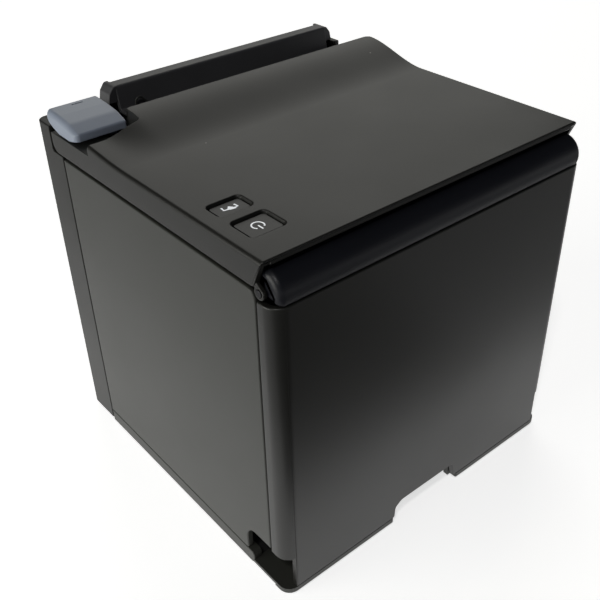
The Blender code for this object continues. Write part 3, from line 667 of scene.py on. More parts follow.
def hinge_ear(side):
    """Round ear about the hinge pin, with a neck up into the skirt."""
    neck = [(HINGE[0] + 4.5, SKIRT_BOTTOM + 0.8), (HINGE[0] + 1.6, SKIRT_BOTTOM + 2.0)]
    outline = np.vstack([arc(HINGE, 2.0, -200, 30, 20), neck])
    low, high = sorted((side * (HALF - SKIRT_WALL), side * (HALF - 0.3)))
    return slab(f"ear_{side}", outline, "x", low, high, 0.3)


def recess_walls():
    """Floor under the lever, the wall in front of it, and the wall beside it that follows the swoop."""
    wall, below, inner = 1.5, 0.7, -HALF + SKIRT_WALL - 0.4
    x = np.linspace(inner, RECESS[0] + wall, 30)
    front = np.vstack([np.column_stack([x, lid_height(x, RECESS[1] - 0.8) - below]),
                       [(x[-1], SHELF[0]), (x[0], SHELF[0])]])
    y = np.linspace(RECESS[1] - wall, LID_REAR - 0.2, 20)
    beside = np.vstack([np.column_stack([y, lid_height(0.0, y) - below]),
                        [(y[-1], SHELF[0]), (y[0], SHELF[0])]])
    slot = (-51.4, -46.0, RECESS[1] + 0.3, 50.0)
    floor = rectangle(inner, RECESS[0] + wall - 0.05, RECESS[1] - wall + 0.05, SKIRT_REAR - 0.7)
    shelf = slab("shelf", floor, "z", *SHELF, 0)
    cut(shelf, block("slot", *slot, SHELF[0] - 1, SHELF[1] + 1))
    return [
        slab("recess_front", front, "y", RECESS[1] - wall, RECESS[1], 0),
        slab("recess_side", beside, "x", RECESS[0], RECESS[0] + wall, 0),
        shelf,
    ]


LEFT, RIGHT = -1, 1
cut(lid, skirt_wedge(LEFT), skirt_wedge(RIGHT))
join(lid, *recess_walls())
join(lid, skirt_tongue("left_tongue", LEFT, RECESS[1] - 1),
     skirt_tongue("right_tongue", RIGHT, LID_REAR - 2))
join(lid, hinge_ear(LEFT), hinge_ear(RIGHT))
print("lid with its skirts:", len(lid.data.polygons), "faces")

# %% [markdown]
# Each button sits in a well: an upright hole for the cap with a slanted rim above it. A bevel on a
# plain hole would give a rim too, but one that a Boolean's stray edges can spoil. The well is one
# loft of rounded rectangles instead, so its rim stays even all the way round. The blocks under the
# sides carry the latch shaft, and the lid's pins turn in the holes at the front.

# %% Button wells and latch blocks
FLANGE = 1.2
CAP_TOP = 124.25


def cap_outline(node, grow=0.0, radius=1.0):
    """Plan of a button cap: the button's box without its flange, grown by the gap round it."""
    low, high = corners(node)
    edge = FLANGE - grow
    return rectangle(low[0] + edge, high[0] - edge, low[1] + edge, high[1] - edge, radius + grow)


def button_well(node):
    """Loft that goes straight up past the cap, slants out by the lip, and goes straight up again."""
    gap, lip = 0.3, 0.55
    grows = (gap, gap, gap + lip, gap + lip)
    sections = np.stack([cap_outline(node, grow) for grow in grows])
    places = [LID_TOP - 7, CAP_TOP - 0.1, LID_TOP + 0.02, LID_TOP + 2]
    return solid(f"well_{node}", across("z", sections, places), ring_faces(4, sections.shape[1]))


cut(lid, button_well("feed_button"), button_well("power_button"))
for side, boss_top in ((LEFT, SHELF[0] + 0.4), (RIGHT, 123.4)):
    low, high = sorted((side * 59.2, side * (HALF - SKIRT_WALL + 0.4)))
    boss = rounded([(25.5, 116.6, 1), (31.0, 116.6, 1), (31.0, boss_top, 0), (25.5, boss_top, 0)])
    join(lid, slab("boss", boss, "x", low, high, 0))
    cut(lid, turned("shaft_hole", [(low - 1, 1.6), (high - 0.2, 1.6)], "x", LATCH, 24))
    pin_low, pin_high = sorted((side * (HALF - SKIRT_WALL - 0.5), side * (HALF + 1)))
    cut(lid, turned("pin_hole", [(pin_low, 1.2), (pin_high, 1.2)], "x", HINGE, 24))
softened(lid, 0.22)
fitted(lid, "lid", "lid_cover", body="lid")

# %% [markdown]
# ## Buttons
#
# The caps are small slabs with a soft rim. Their signs are printed. A picture on the cap would need
# a file, so each sign is a thin raised film: a ring with a gap and a bar for power, and a bent sheet
# with an arrow for paper feed.

# %% Button caps and their signs
def ribbon(name, line, width, low, high):
    """Flat band along a line: the line moved half a width to each side and closed into an outline."""
    line = np.asarray(line, float)
    ahead = np.gradient(line, axis=0)
    normal = np.column_stack([-ahead[:, 1], ahead[:, 0]]) / np.linalg.norm(ahead, axis=1)[:, None]
    outline = np.vstack([line + normal * width / 2, (line - normal * width / 2)[::-1]])
    return slab(name, outline, "z", low, high, 0)


def button_cap(node):
    """Cap with a flange below it, which keeps it from falling out through its well."""
    low, high = corners(node)
    cap = slab(f"{node}_cap", cap_outline(node), "z", low[2] + 0.4, CAP_TOP, (0, 0.3))
    flange = block("flange", low[0], high[0], low[1], high[1], low[2], low[2] + 0.8, 0)
    join(cap, flange)
    return fitted(cap, "button", node, body=node)


for node in ("feed_button", "power_button"):
    button_cap(node)

film = (CAP_TOP - 0.02, CAP_TOP + 0.03)
higher_film = (film[0], film[1] + 0.004)
centre = middle("power_button")[:2] + (0.0, 0.2)
ring_r, stroke = 1.75, 0.42
ring = ribbon("power_sign", arc(centre, ring_r, -50, 230, 40), stroke, *film)
bar = centre + np.array([(0, -0.1), (0, -1.0), (0, -2.3)])
join(ring, ribbon("power_bar", bar, stroke, *higher_film))
fitted(ring, "print", body="power_button")

centre = middle("feed_button")[:2]
bent = centre + np.array([(-1.9, 1.3), (-2.1, -0.3), (-0.6, -0.5), (0.9, -0.7), (2.3, -0.6), (2.1, 1.0)])
arrow = centre + np.array([(-0.9, -0.2), (0.1, 0.9), (0.9, 0.0), (1.5, -1.3), (0.2, -1.1), (-0.4, -1.0)])
sheet = ribbon("feed_sign", bent, 0.5, *film)
join(sheet, slab("feed_arrow", arrow, "z", *higher_film, 0))
fitted(sheet, "print", body="feed_button")

# %% [markdown]
# ## The round bar
#
# Along the top of the front runs a bar that is a quarter tube about the hinge line, so that the lid
# can swing over it. A cylinder cut in four would do for the middle, but its ends are rounded like a
# fingertip: their sections are tucked in by a quarter circle, which is what gives the bright streak
# at the corner.

# %% Front bar
BAR_LOW, BAR_HIGH = corners("front_top_bar")
BAR_R = HINGE[0] + HALF


def front_bar():
    """Quarter tube of radius BAR_R about the hinge, with a lip at the rear and a solid end each side."""
    bottom, rear = BAR_LOW[2], BAR_HIGH[1]
    start = 180 + np.degrees(np.arcsin((HINGE[1] - bottom) / BAR_R))
    end_x, round_end, overlap = BAR_HIGH[0], 2.0, 0.1
    outer = arc(HINGE, BAR_R, start, 82, 40)
    inner = arc(HINGE, BAR_R - WALL, 80, 180, 30)
    lip = [(rear, 120.6), (rear, 118.8)]
    shell = np.vstack([outer, lip, inner, [(HINGE[0] - BAR_R + WALL, bottom)]])
    bar = slab("front_bar", shell, "x", -end_x + round_end + overlap, end_x - round_end - overlap, 0)
    end = np.vstack([arc(HINGE, BAR_R, start, 84, 40), [(HINGE[0] + 0.85, bottom)]])
    for side, rim in ((LEFT, (round_end, 0)), (RIGHT, (0, round_end))):
        low, high = sorted((side * (end_x - 2 * round_end), side * end_x))
        join(bar, slab("bar_end", end, "x", low, high, rim, 8))
        cut(bar, turned("bar_pin_hole", [(low - 1, 1.2), (high + 1, 1.2)], "x", HINGE, 24))
    return fitted(bar, "bar", "front_top_bar", sharp=30)


front_bar()

# %% [markdown]
# ## Front and rear covers
#
# Both are one wall bent round two upright corners. A box with Solidify would have the same thickness,
# but a plan outline carried straight up also gives each upright corner its own radius. The openings
# for cables are cut out, and the rear cover steps down beside the lid's skirts.

# %% Wrapped covers
def wrap_plan(face_y, return_y, radius):
    """Plan of a wall that runs along a face and back along both sides."""
    sign = math.copysign(1.0, face_y)
    inner = HALF - WALL
    return rounded([
        (-HALF, return_y, 0), (-HALF, face_y, radius), (HALF, face_y, radius), (HALF, return_y, 0),
        (inner, return_y, 0), (inner, face_y - sign * WALL, radius - WALL),
        (-inner, face_y - sign * WALL, radius - WALL), (-inner, return_y, 0),
    ], 10)


def front_cover():
    """Front wall with a mouth for cables in the middle of its foot and an exit at each corner."""
    low, high = corners("front_cover")
    plan = wrap_plan(low[1], high[1], 5.0)
    cover = slab("front_shell", plan, "z", low[2], high[2], (0.3, 0.55), 4)
    mouth = rounded([
        (-15.7, low[2] - 1, 0), (14.6, low[2] - 1, 0), (13.2, 9.4, 1.0), (-12.4, 9.4, 1.6), (-15.2, 7.6, 1.6),
    ])
    exit_x, exit_y, exit_top = 59.5, -50, 16.6
    cut(cover, slab("mouth", mouth, "y", low[1] - 1, low[1] + 3, 0))
    cut(cover, block("left_exit", low[0] - 1, -exit_x, low[1] - 1, exit_y, 0, exit_top),
        block("right_exit", exit_x, high[0] + 1, low[1] - 1, exit_y, 0, exit_top))
    softened(cover, 0.25)
    return fitted(cover, "cover", "front_cover")


def rear_cover():
    """Rear wall that steps down in front of its columns, with a lintel at each side of the opening."""
    low, high = corners("rear_cover")
    cover = slab("rear_shell", wrap_plan(high[1], low[1], 3.0), "z", low[2], high[2], (0.3, 0.5), 4)
    step_y, step_z, column_y = 40, 115.7, 54.3
    step = rounded([
        (step_y, step_z, 0), (column_y, step_z, 0.6), (column_y, high[2] + 1, 0), (step_y, high[2] + 1, 0),
    ])
    for side in (LEFT, RIGHT):
        a, b = sorted((side * 60, side * (HALF + 1)))
        cut(cover, slab("step", step, "x", a, b, 0))
    reach, opening = HALF - WALL + 0.4, (-42.4, 61.0)
    lintel = (column_y + 0.6, reach, high[2] - WALL, high[2] - 0.1)
    join(cover, block("left_lintel", -reach, opening[0], *lintel),
         block("right_lintel", opening[1], reach, *lintel))
    softened(cover, 0.3)
    return fitted(cover, "rear", "rear_cover")


front_cover()
rear_cover()

# %% [markdown]
# ## Side panels
#
# A panel is flat, so its outline says it all: the notch at the front foot with its round corner. A
# Bevel would round both its faces, while the real one is soft on the outside only, so just that end
# gets a rim. The panels' finish is duller than the rest, and lighter: partly their own tone, partly
# painted light for the bright light that falls on the left side.

# %% Side panels
def side_panel(node, rim):
    """Flat panel, a fine gap smaller all round than its place, with a notch for the cable exit."""
    low, high = corners(node)
    low[1:], high[1:] = low[1:] + 0.2, high[1:] - 0.15
    exit_y, exit_z = -43.2, 17.5
    outline = rounded([
        (low[1], exit_z, 0), (exit_y, exit_z, 5.0), (exit_y, low[2], 0.8), (high[1], low[2], 0),
        (high[1], high[2], 0), (low[1], high[2], 3.5),
    ], 8)
    panel = slab(f"{node}_shell", outline, "x", low[0], high[0], rim)
    return fitted(panel, "panel", node)


side_panel("left_side_panel", (0.5, 0))
side_panel("right_side_panel", (0, 0.5))

# %% [markdown]
# ## The wall behind the paper slot
#
# The cutter hides under a low wall whose front leans back. Its section is carried along X, and its
# ends fall away in rounded shoulders, which are the same idea carried along Y. One loft could do both
# only by bending its rings, and two slabs are easier to read. A small wire lug stands beside it.

# %% Cutter cover
def cutter_cover():
    """Wall section carried along X, joined to a shoulder outline carried along Y at each end."""
    low, high = corners("cutter_cover")
    foot, top = 124.8, high[2]
    section = rounded([
        (48.0, 121.1, 0), (48.0, 122.3, 0.5), (54.6, 122.3, 0.8), (56.2, top, 0.9), (61.9, top, 2.2),
        (HALF, 127.4, 2.0), (HALF, foot, 0), (61.5, foot, 0), (61.5, 128.4, 0), (58.0, 128.4, 0),
        (56.2, 121.1, 0),
    ], 5)
    shoulder, tuck = 3.4, 0.5
    left, right = low[0] + shoulder, high[0] - shoulder
    wall = slab("cutter_wall", section, "x", left, right, 0.3)
    for edge, side in ((left, LEFT), (right, RIGHT)):
        outline = rounded([
            (edge - side * tuck, top - 0.05, 0), (edge + side * 0.9, top - 0.05, 1.6),
            (edge + side * 2.7, 128.1, 1.2), (edge + side * shoulder, foot, 0), (edge - side * tuck, foot, 0),
        ])
        join(wall, slab("shoulder", outline, "y", 56.1, HALF - 0.5, 0.35))
    return fitted(wall, "wall", "cutter_cover")


cutter_cover()
LUG_Y = 53.8
lug_line = np.vstack([[(-31.0, 122.2)], arc((-29.5, 124.1), 1.4, 180, 45, 10), [(-25.9, 122.4)]])
lug_path = np.insert(lug_line, 1, LUG_Y, axis=1)
fitted(swept("paper_lug", lug_path, 0.35, 12), "panel")

# %% [markdown]
# ## The lever
#
# The lid's release lever is a thumb-sized cap of blue-grey plastic with soft flanks. A bevelled slab
# would be equally soft all round, so it is lofted: its side view is one profile, and each ring across
# the cap is that profile drawn in towards its middle, by a quarter circle at each flank, a large one
# on the outer side and a small one beside the lid.

# %% Lever cap
def lever_cap():
    """Loft of drawn-in profiles, hollow underneath, with a rib down to the shaft and a short groove.

    A ring tucked in by t is shorter by t / half_y of its reach, and its top is lower by 0.9 t.
    """
    low, high = LEVER_LOW, LEVER_HIGH
    profile = rounded([
        (36.0, 124.2, 0.3), (36.1, 126.7, 0.9), (41.5, 128.6, 9.0), (48.0, 129.35, 8.0),
        (high[1], high[2], 1.3), (55.7, 127.0, 0.5), (52.5, 124.9, 1.5), (47.5, 123.55, 2.0),
        (39.0, 123.5, 0.8),
    ], 8)
    left_round, right_round, steps = 2.0, 0.7, 9
    turn = np.linspace(0, np.pi / 2, steps)
    left = low[0] + left_round * (1 - np.cos(turn))
    right = high[0] - right_round * (1 - np.cos(turn[::-1]))
    places = np.concatenate([left, right])
    tuck = np.concatenate([left_round * (1 - np.sin(turn)), right_round * (1 - np.sin(turn[::-1]))])
    heart, half_y, half_z = np.array([46.5, 124.2]), 10.3, 5.0
    reach = profile - heart
    top_share = np.clip(reach[:, 1] / half_z, 0, 1)
    y = heart[0] + reach[:, 0] * (1 - tuck[:, None] / half_y)
    z = heart[1] + reach[:, 1] - tuck[:, None] * top_share * 0.9
    points = across("x", np.stack([y, z], -1), places)
    cap = outward(solid("lever_cap", points, ring_faces(len(places), len(profile))))
    hollow = rounded([
        (30.0, 120.0, 0), (38.3, 123.0, 0), (38.5, 125.7, 1.0), (42.0, 126.8, 3), (48.0, 127.4, 3),
        (54.4, 127.6, 0.5), (60.0, 122.0, 0),
    ])
    cut(cap, slab("hollow", hollow, "x", low[0] + 3.0, high[0] - 1.7, 0))
    arm = [(39.5, 121.0), (49.0, 127.0), (48.0, 128.2), (40.4, 127.0), (37.6, 122.7), (33.0, 121.6)]
    rib = np.vstack([arc(LATCH, 2.6, 135, 330, 20), arm])
    join(cap, slab("rib", rib, "x", -50.0, -47.6, 0.2))
    cut(cap, turned("shaft_bore", [(-51, 1.8), (-46, 1.8)], "x", LATCH, 32))
    dash_y, dash = 53.2, (-54.7, -50.6)
    groove = slab("groove", rectangle(*dash, dash_y - 0.28, dash_y + 0.28, 0.27), "z", 128.8, 131, 0)
    cut(cap, groove)
    return fitted(cap, "lever", "lever", body="lever", slot="lever_plastic", sharp=34)


lever_cap()

# %% [markdown]
# ## Base and feet
#
# The base closes the box from below and leaves a bay for the plugs. Only its strips show from
# outside. Like a real moulding it is a floor with walls, strips and rails joined to it, because each
# of those is one simple outline. The feet are rubber buttons with a shallow dish underneath, turned
# like a bowl.

# %% Parts of the base
INNER = HALF - 2.3
BAY_REAR, BAY_TOP = -14.0, 20.0
FLOOR_LOW = 1.5
SCREWS = sorted(n for n in frame["nodes"] if n.startswith("base_screw_"))
SOCKETS = ("dc_inlet", "drawer_socket", "network_socket", "usb_socket")


def bay_walls():
    """Ceiling of the plug bay and the walls behind it and in front."""
    ceiling = rounded([
        (-INNER, -INNER, 5), (INNER, -INNER, 5), (INNER, BAY_REAR + 1, 0), (-INNER, BAY_REAR + 1, 0),
    ])
    wall_x, foot_z = 57.5, FLOOR_LOW + 0.1
    return [
        block("bay_wall", -INNER, INNER, BAY_REAR, BAY_REAR + WALL, foot_z, BAY_TOP + WALL - 0.1),
        slab("ceiling", ceiling, "z", BAY_TOP, BAY_TOP + WALL, 0),
        block("front_wall", -wall_x, wall_x, -INNER, -INNER + WALL, foot_z, BAY_TOP + 1),
    ]


def edge_parts(side, low, high):
    """Strip under a side panel, pad at the front corner, and rail that runs round that corner."""
    edge, strip_front, strip_top, rail_top = high[0], -46.0, 5.9, 2.7
    strip_rear = corners("left_side_panel")[1][1]
    strip = rounded([
        (strip_front, low[2], 1.6), (strip_rear, low[2], 0), (strip_rear, strip_top, 0),
        (strip_front, strip_top, 1.6),
    ])
    a, b = sorted((side * (INNER - 1), side * edge))
    pad_x, pad_rear = side * 40.0, strip_front + 0.5
    pad = rounded([(pad_x, -edge, 0), (side * edge, -edge, 4.2), (side * edge, pad_rear, 0),
                   (pad_x, pad_rear, 0)])
    rail_x, rail_rear, rail_inner = side * 16.0, -57, edge - 2.6
    rail = rounded([
        (rail_x, -edge, 0.5), (side * edge, -edge, 4.2), (side * edge, rail_rear, 0),
        (side * rail_inner, rail_rear, 0), (side * rail_inner, -rail_inner, 2.4), (rail_x, -rail_inner, 0),
    ])
    return [
        slab("strip", strip, "x", a, b, (0.35, 0) if side < 0 else (0, 0.35)),
        slab("pad", pad, "z", FLOOR_LOW, rail_top, 0),
        slab("rail", rail, "z", low[2], rail_top, 0),
    ]


print("holes for", len(SOCKETS), "sockets and", len(SCREWS), "screws")

# %% Base and feet put together
def base():
    """Floor with everything that stands on it, then the mouth and the holes for sockets and screws."""
    low, high = corners("base_case")
    floor = rounded([(-INNER, BAY_REAR, 0), (INNER, BAY_REAR, 0), (INNER, INNER, 2), (-INNER, INNER, 2)])
    body = slab("base_shell", floor, "z", FLOOR_LOW, FLOOR_LOW + 2, (0.3, 0))
    join(body, *bay_walls())
    for side in (LEFT, RIGHT):
        for part in edge_parts(side, low, high):
            join(body, part)
    mouth = rectangle(-14, 14, 0, 11.5)
    cut(body, slab("mouth", mouth, "y", -INNER - 1, -INNER + WALL + 1, 0))
    for node in SOCKETS:
        first, last = corners(node)
        first, last = first - 0.4, last + 0.4
        cut(body, block("socket_hole", first[0], last[0], BAY_REAR - 1, BAY_REAR + WALL + 1,
                        first[2], last[2]))
    for node in SCREWS:
        cut(body, turned("screw_hole", [(0, 1.6), (6, 1.6)], "z", middle(node)[:2], 24))
    return fitted(body, "panel", "base_case")


def foot(node):
    """Rubber button turned about its middle, with its dish cut out from below."""
    low, high = corners(node)
    spot, radius, top = middle(node)[:2], (high[0] - low[0]) / 2, high[2]
    dish = [(0.0, radius - 1.6), (0.0, radius - 0.5), (0.15, radius - 0.15), (0.4, radius), (top, radius)]
    piece = turned(f"{node}_rubber", dish, "z", spot, 48)
    cut(piece, turned("dish", [(-1, radius - 2.2), (0.35, radius - 2.6)], "z", spot, 48))
    return fitted(piece, "rubber", node, slot="rubber")


base()
for node in sorted(n for n in frame["nodes"] if n.startswith("foot_")):
    foot(node)

# %% [markdown]
# ## Under the lid
#
# Opened, the printer shows its paper bay, the rubber roller in the lid, the head behind it and the
# gears at the side. Folded and moulded pieces only need a radius on their edges, so they start from
# the frame's own shape; turned, wound and sawn pieces are made afresh.

# %% Helpers for inner pieces
def inside(piece, finish, *nodes, sharp=38):
    """Fit a piece to the body that the frame gives its first node."""
    first = frame["nodes"][nodes[0]]
    slot = first.data.materials[0].name.split(".")[0]
    return fitted(piece, finish, *nodes, body=body_of(first)[0], slot=slot, sharp=sharp)


def eased(node, finish, width=0.15, *extra):
    """Copy of a plain piece: flat facets merged, more material joined on, and a radius on each edge."""
    source = frame["nodes"][node]
    piece = bpy.data.objects.new(f"{node}_eased", source.data.copy())
    bpy.context.scene.collection.objects.link(piece)
    piece.data.materials.clear()
    weld = piece.modifiers.new("weld", "WELD")
    weld.merge_threshold = 0.01 * MM
    flat = piece.modifiers.new("flat", "DECIMATE")
    flat.decimate_type = "DISSOLVE"
    flat.angle_limit = math.radians(0.6)
    settle(piece)
    if extra:
        join(piece, *extra)
    softened(piece, width)
    return inside(piece, finish, node)


def gathered(name, pieces):
    """Several small solids as one mesh: their points are stacked and their faces renumbered."""
    points, faces, start = [], [], 0
    for piece in pieces:
        points.append(points_of(piece) / MM)
        faces += [[start + i for i in polygon.vertices] for polygon in piece.data.polygons]
        start += len(points[-1])
        bpy.data.objects.remove(piece, do_unlink=True)
    return solid(name, np.vstack(points), faces)


print("roller axis at y, z:", PLATEN)

# %% [markdown]
# The roller is a tube of rubber on a steel shaft with a groove for its clip. Blender's Screw modifier
# could wind the springs, but their end turns lie flat, so they are a circle of wire carried along a
# path instead: at angle a it is at radius r from the axis, and further along by a share of the length.

# %% Roller, shaft and springs
roll_low, roll_high = corners("platen_roller")
ends = (roll_low[0], roll_high[0])
rubber = [
    (ends[0], 2.4), (ends[0], 5.7), (ends[0] + 0.3, 6.0),
    (ends[1] - 0.3, 6.0), (ends[1], 5.7), (ends[1], 2.4),
]
inside(turned("roller_rubber", rubber, "x", PLATEN, 96, looped=True), "roller", "platen_roller", sharp=25)
shaft = [
    (-42.3, 1.6), (-42.0, 2.0), (-41.7, 2.0), (-41.7, 1.5), (-41.3, 1.5), (-41.3, 2.0),
    (55.8, 2.0), (56.2, 1.6),
]
inside(turned("roller_shaft", shaft, "x", PLATEN, 48), "bright", "platen_shaft", sharp=25)


def helix(axis, centre, radius, low, high, turns, steps=28):
    """Path (r cos a, r sin a) round an axis, rising from low to high but for half a turn at each end."""
    angle = np.linspace(0, 2 * np.pi * turns, int(turns * steps) + 1)
    rise = np.clip((angle - np.pi) / (angle[-1] - 2 * np.pi), 0, 1)
    along = low + (high - low) * rise
    a, b = centre[0] + radius * np.cos(angle), centre[1] + radius * np.sin(angle)
    return np.column_stack({"x": (along, a, b), "y": (a, along, b)}[axis])


for node in ("head_spring_left", "head_spring_right"):
    low, high = corners(node)
    path = helix("y", middle(node)[[0, 2]], 2.55, low[1] + 0.32, high[1] - 0.32, 5.5)
    inside(swept(f"{node}_wire", path, 0.3, 12), "bright", node, sharp=60)
low, high = corners("lever_spring")
path = helix("x", LATCH, 2.2, low[0] + 0.27, high[0] - 0.27, 6)
inside(swept("lever_spring_wire", path, 0.24, 12), "bright", "lever_spring", sharp=60)

# %% [markdown]
# Motors are deep-drawn cans with a rolled edge and a seam, so their profile is turned about the shaft;
# a cylinder with bevels would lack the collar and the seam. Screws are turned too: on a part that
# never turns, a stack of rings reads the same as a thread, and it closes with far fewer faces.

# %% Motors and screws
def motor(node, profile):
    """Can turned from (distance from its left end, radius) pairs."""
    placed = np.array(profile) + (corners(node)[0][0], 0)
    return inside(turned(f"{node}_can", placed, "x", middle(node)[1:], 72), "aluminium", node, sharp=25)


motor("feed_motor", [
    (0, 0.8), (0.2, 1.0), (7.7, 1.0), (7.7, 4.0), (8.1, 4.0), (8.1, 11.4), (8.3, 11.8), (8.7, 12.0),
    (15.6, 12.0), (15.8, 11.7), (16.3, 11.7), (16.5, 12.0), (24.7, 12.0), (25.2, 11.8), (25.4, 11.3),
])
motor("cutter_motor", [
    (0, 0.8), (0.2, 1.0), (7.0, 1.0), (7.0, 4.3), (7.2, 4.65), (7.6, 4.8), (27.2, 4.8), (27.2, 4.5),
    (28.0, 4.5), (28.0, 4.1), (30.1, 4.1), (30.4, 3.8),
])
PITCH = 0.5
threads = [(3.6 + PITCH * turn / 2, 1.4 - 0.25 * (turn % 2)) for turn in range(20)]
head = [(0.5, 1.7), (0.6, 2.2), (0.85, 2.5), (1.2, 2.6), (1.45, 2.6), (1.45, 1.4)]
for node in SCREWS:
    x, y = middle(node)[:2]
    profile = [*head, *threads, (corners(node)[1][2], 0.8)]
    screw = turned(node.removeprefix("base_"), profile, "z", (x, y), 32)
    long, short, depth = 1.5, 0.3, 1.1
    cross = block("slot", x - long, x + long, y - short, y + short, 0, depth)
    join(cross, block("slot", x - short, x + short, y - long, y + long, 0, depth - 0.01))
    inside(cut(screw, cross), "bright", node)

# %% [markdown]
# The head is a ceramic strip glued to a finned heat sink. An Array modifier could repeat one fin, but
# a comb drawn in plan is a single closed outline, with nothing to merge afterwards. The tear bar is a
# comb too, with a tooth every millimetre and a half.

# %% Head, tear bar and blade
def comb(start, end, pitch, share, base, tip, slope=0.0):
    """Points of a comb: per pitch a tooth that takes its share, with sides that lean in by the slope."""
    count = int((end - start) / pitch)
    at = start + (end - start) * np.arange(count)[:, None] / count
    step = (end - start) / count
    x = at + step * np.array([0.0, slope, share - slope, share])
    y = np.broadcast_to(np.array([base, tip, tip, base]), x.shape)
    return np.column_stack([x.ravel(), y.ravel()])


low, high = corners("head_heat_sink")
fins = np.vstack([comb(low[0] + 0.6, high[0] - 0.6, 2.5, 0.45, low[1] + 1.0, high[1]),
                  [(high[0], low[1] + 1.0), (high[0], low[1]), (low[0], low[1]), (low[0], low[1] + 1.0)]])
inside(slab("heat_sink_fins", fins, "z", low[2], high[2], 0), "aluminium", "head_heat_sink")

low, high = corners("thermal_head")
strip = slab("head_strip", rectangle(low[0], high[0], low[2], high[2], 0.4), "y", low[1], high[1], 0.08)
inside(strip, "ceramic", "thermal_head")
glaze_line = [(x, low[1] + 0.22, PLATEN[1]) for x in np.linspace(low[0] + 1, high[0] - 1, 12)]
fitted(swept("head_glaze", glaze_line, 0.34, 16), "glaze", body="print_head", slot="head_ceramic")
driver = rectangle(low[0] + 6, high[0] - 6, 104.8, 107.2, 0.8)
cover = slab("head_driver_cover", driver, "y", low[1] - 0.7, low[1] + 0.2, 0.3)
fitted(cover, "socket", body="print_head", slot="head_ceramic")

low, high = corners("tear_bar")
teeth = np.vstack([comb(low[0] + 0.4, high[0] - 0.4, 1.5, 1.0, high[1] - 0.9, high[1], 0.46)[:-1],
                   [(high[0], high[1] - 0.9), (high[0], low[1]), (low[0], low[1]), (low[0], high[1] - 0.9)]])
apart = np.linalg.norm(np.diff(teeth, axis=0), axis=1) > 1e-6
teeth = teeth[np.concatenate([[True], apart])]
inside(slab("tear_bar_teeth", teeth, "z", low[2], high[2], 0), "steel", "tear_bar")

low, high = corners("cutter_blade")
edge = rounded([
    (low[0], low[1], 0), (middle("cutter_blade")[0], 48.0, 0), (high[0], low[1], 0),
    (high[0], high[1], 0.8), (low[0], high[1], 0.8),
])
blade = slab("blade", edge, "z", low[2], high[2], (0.25, 0))
for x in (low[0] + 8, high[0] - 8):
    guide = rectangle(x - 1.2, x + 1.2, 50.0, 56.0, 1.19)
    cut(blade, slab("guide_slot", guide, "z", low[2] - 1, high[2] + 1, 0))
inside(blade, "steel", "cutter_blade")

# %% [markdown]
# ## Moulded and folded pieces
#
# The lid's inner frame gets the stiffening ribs that a thin moulding needs. All the others only lose
# their sharp edges. They could be drawn again from nothing, but their shape in the frame is already
# the real one, and a copy of it can't drift away from the joints.

# %% Eased pieces
low, high = corners("lid_inner_frame")
RIB_HALF, RIB_TOP = 0.6, 121.6
ribs = [block("rib", x - RIB_HALF, x + RIB_HALF, low[1] + 2.0, 20.0, 119.8, RIB_TOP)
        for x in np.linspace(low[0] + 8, high[0] - 8, 6)]
ribs += [block("rib", low[0] + 3.0, high[0] - 3.0, y - RIB_HALF, y + RIB_HALF, 120.1, RIB_TOP)
         for y in (-38.0, -20.0, -2.0, 15.0)]
eased("lid_inner_frame", "inner", 0.18, *ribs)
for finish, radius, nodes in (
    ("inner", 0.3, ["roll_bay"]),
    ("steel", 0.12, ["latch_hook_left", "latch_hook_right", "head_spring_bracket", "mechanism_frame"]),
    ("bright", 0.1, ["latch_shaft", "latch_stud_left", "latch_stud_right", "idler_post"]),
    ("black_steel", 0.1, ["hinge_pin_left", "hinge_pin_right"]),
    ("gear", 0.07, ["platen_bearing_left", "platen_bearing_right", "cutter_rack", "platen_gear",
                    "idler_gear", "motor_pinion", "cutter_pinion"]),
    ("socket", 0.2, ["cover_switch", "paper_sensor"]),
):
    for node in nodes:
        eased(node, finish, radius)

# %% [markdown]
# ## Boards and sockets
#
# The boards are plates with round corners. Each part on them could be an object of its own, but nobody
# takes a resistor off, so they are gathered by finish: black chips and connectors, metal cans with a
# crimp, small resistors set out on a grid, and the legs of the largest chip.

# %% Main board
low, high = corners("main_board")
board = slab("board_plate", rectangle(low[0], high[0], low[1], high[1], 1.5), "z", low[2], high[2], 0)
for x in (low[0] + 4, high[0] - 4):
    for y in (6.0, high[1] - 4):
        cut(board, turned("mount_hole", [(low[2] - 1, 1.6), (high[2] + 1, 1.6)], "z", (x, y), 24))
inside(softened(board, 0.12), "board", "main_board")
SEAT = high[2] - 0.01

# %% Parts on the main board
def chip(name, x, y, width, depth, height, rim=0.15):
    """Block on the board about (x, y), with a rim at its top only."""
    plan = rectangle(x - width / 2, x + width / 2, y - depth / 2, y + depth / 2, 0.2)
    return slab(name, plan, "z", SEAT, SEAT + height, (0, rim))


def can(x, y, radius, height):
    """Capacitor: a cup with a crimp above its foot and a raised edge round its lid."""
    base_part = [(0, radius - 0.2), (0.2, radius), (1.0, radius), (1.2, radius - 0.25),
                 (1.5, radius - 0.25), (1.7, radius)]
    lid_part = [(height - 0.4, radius), (height, radius - 0.4), (height, radius - 0.9),
                (height - 0.2, radius - 1.0)]
    return turned("can", np.array(base_part + lid_part) + (SEAT, 0), "z", (x, y), 40)


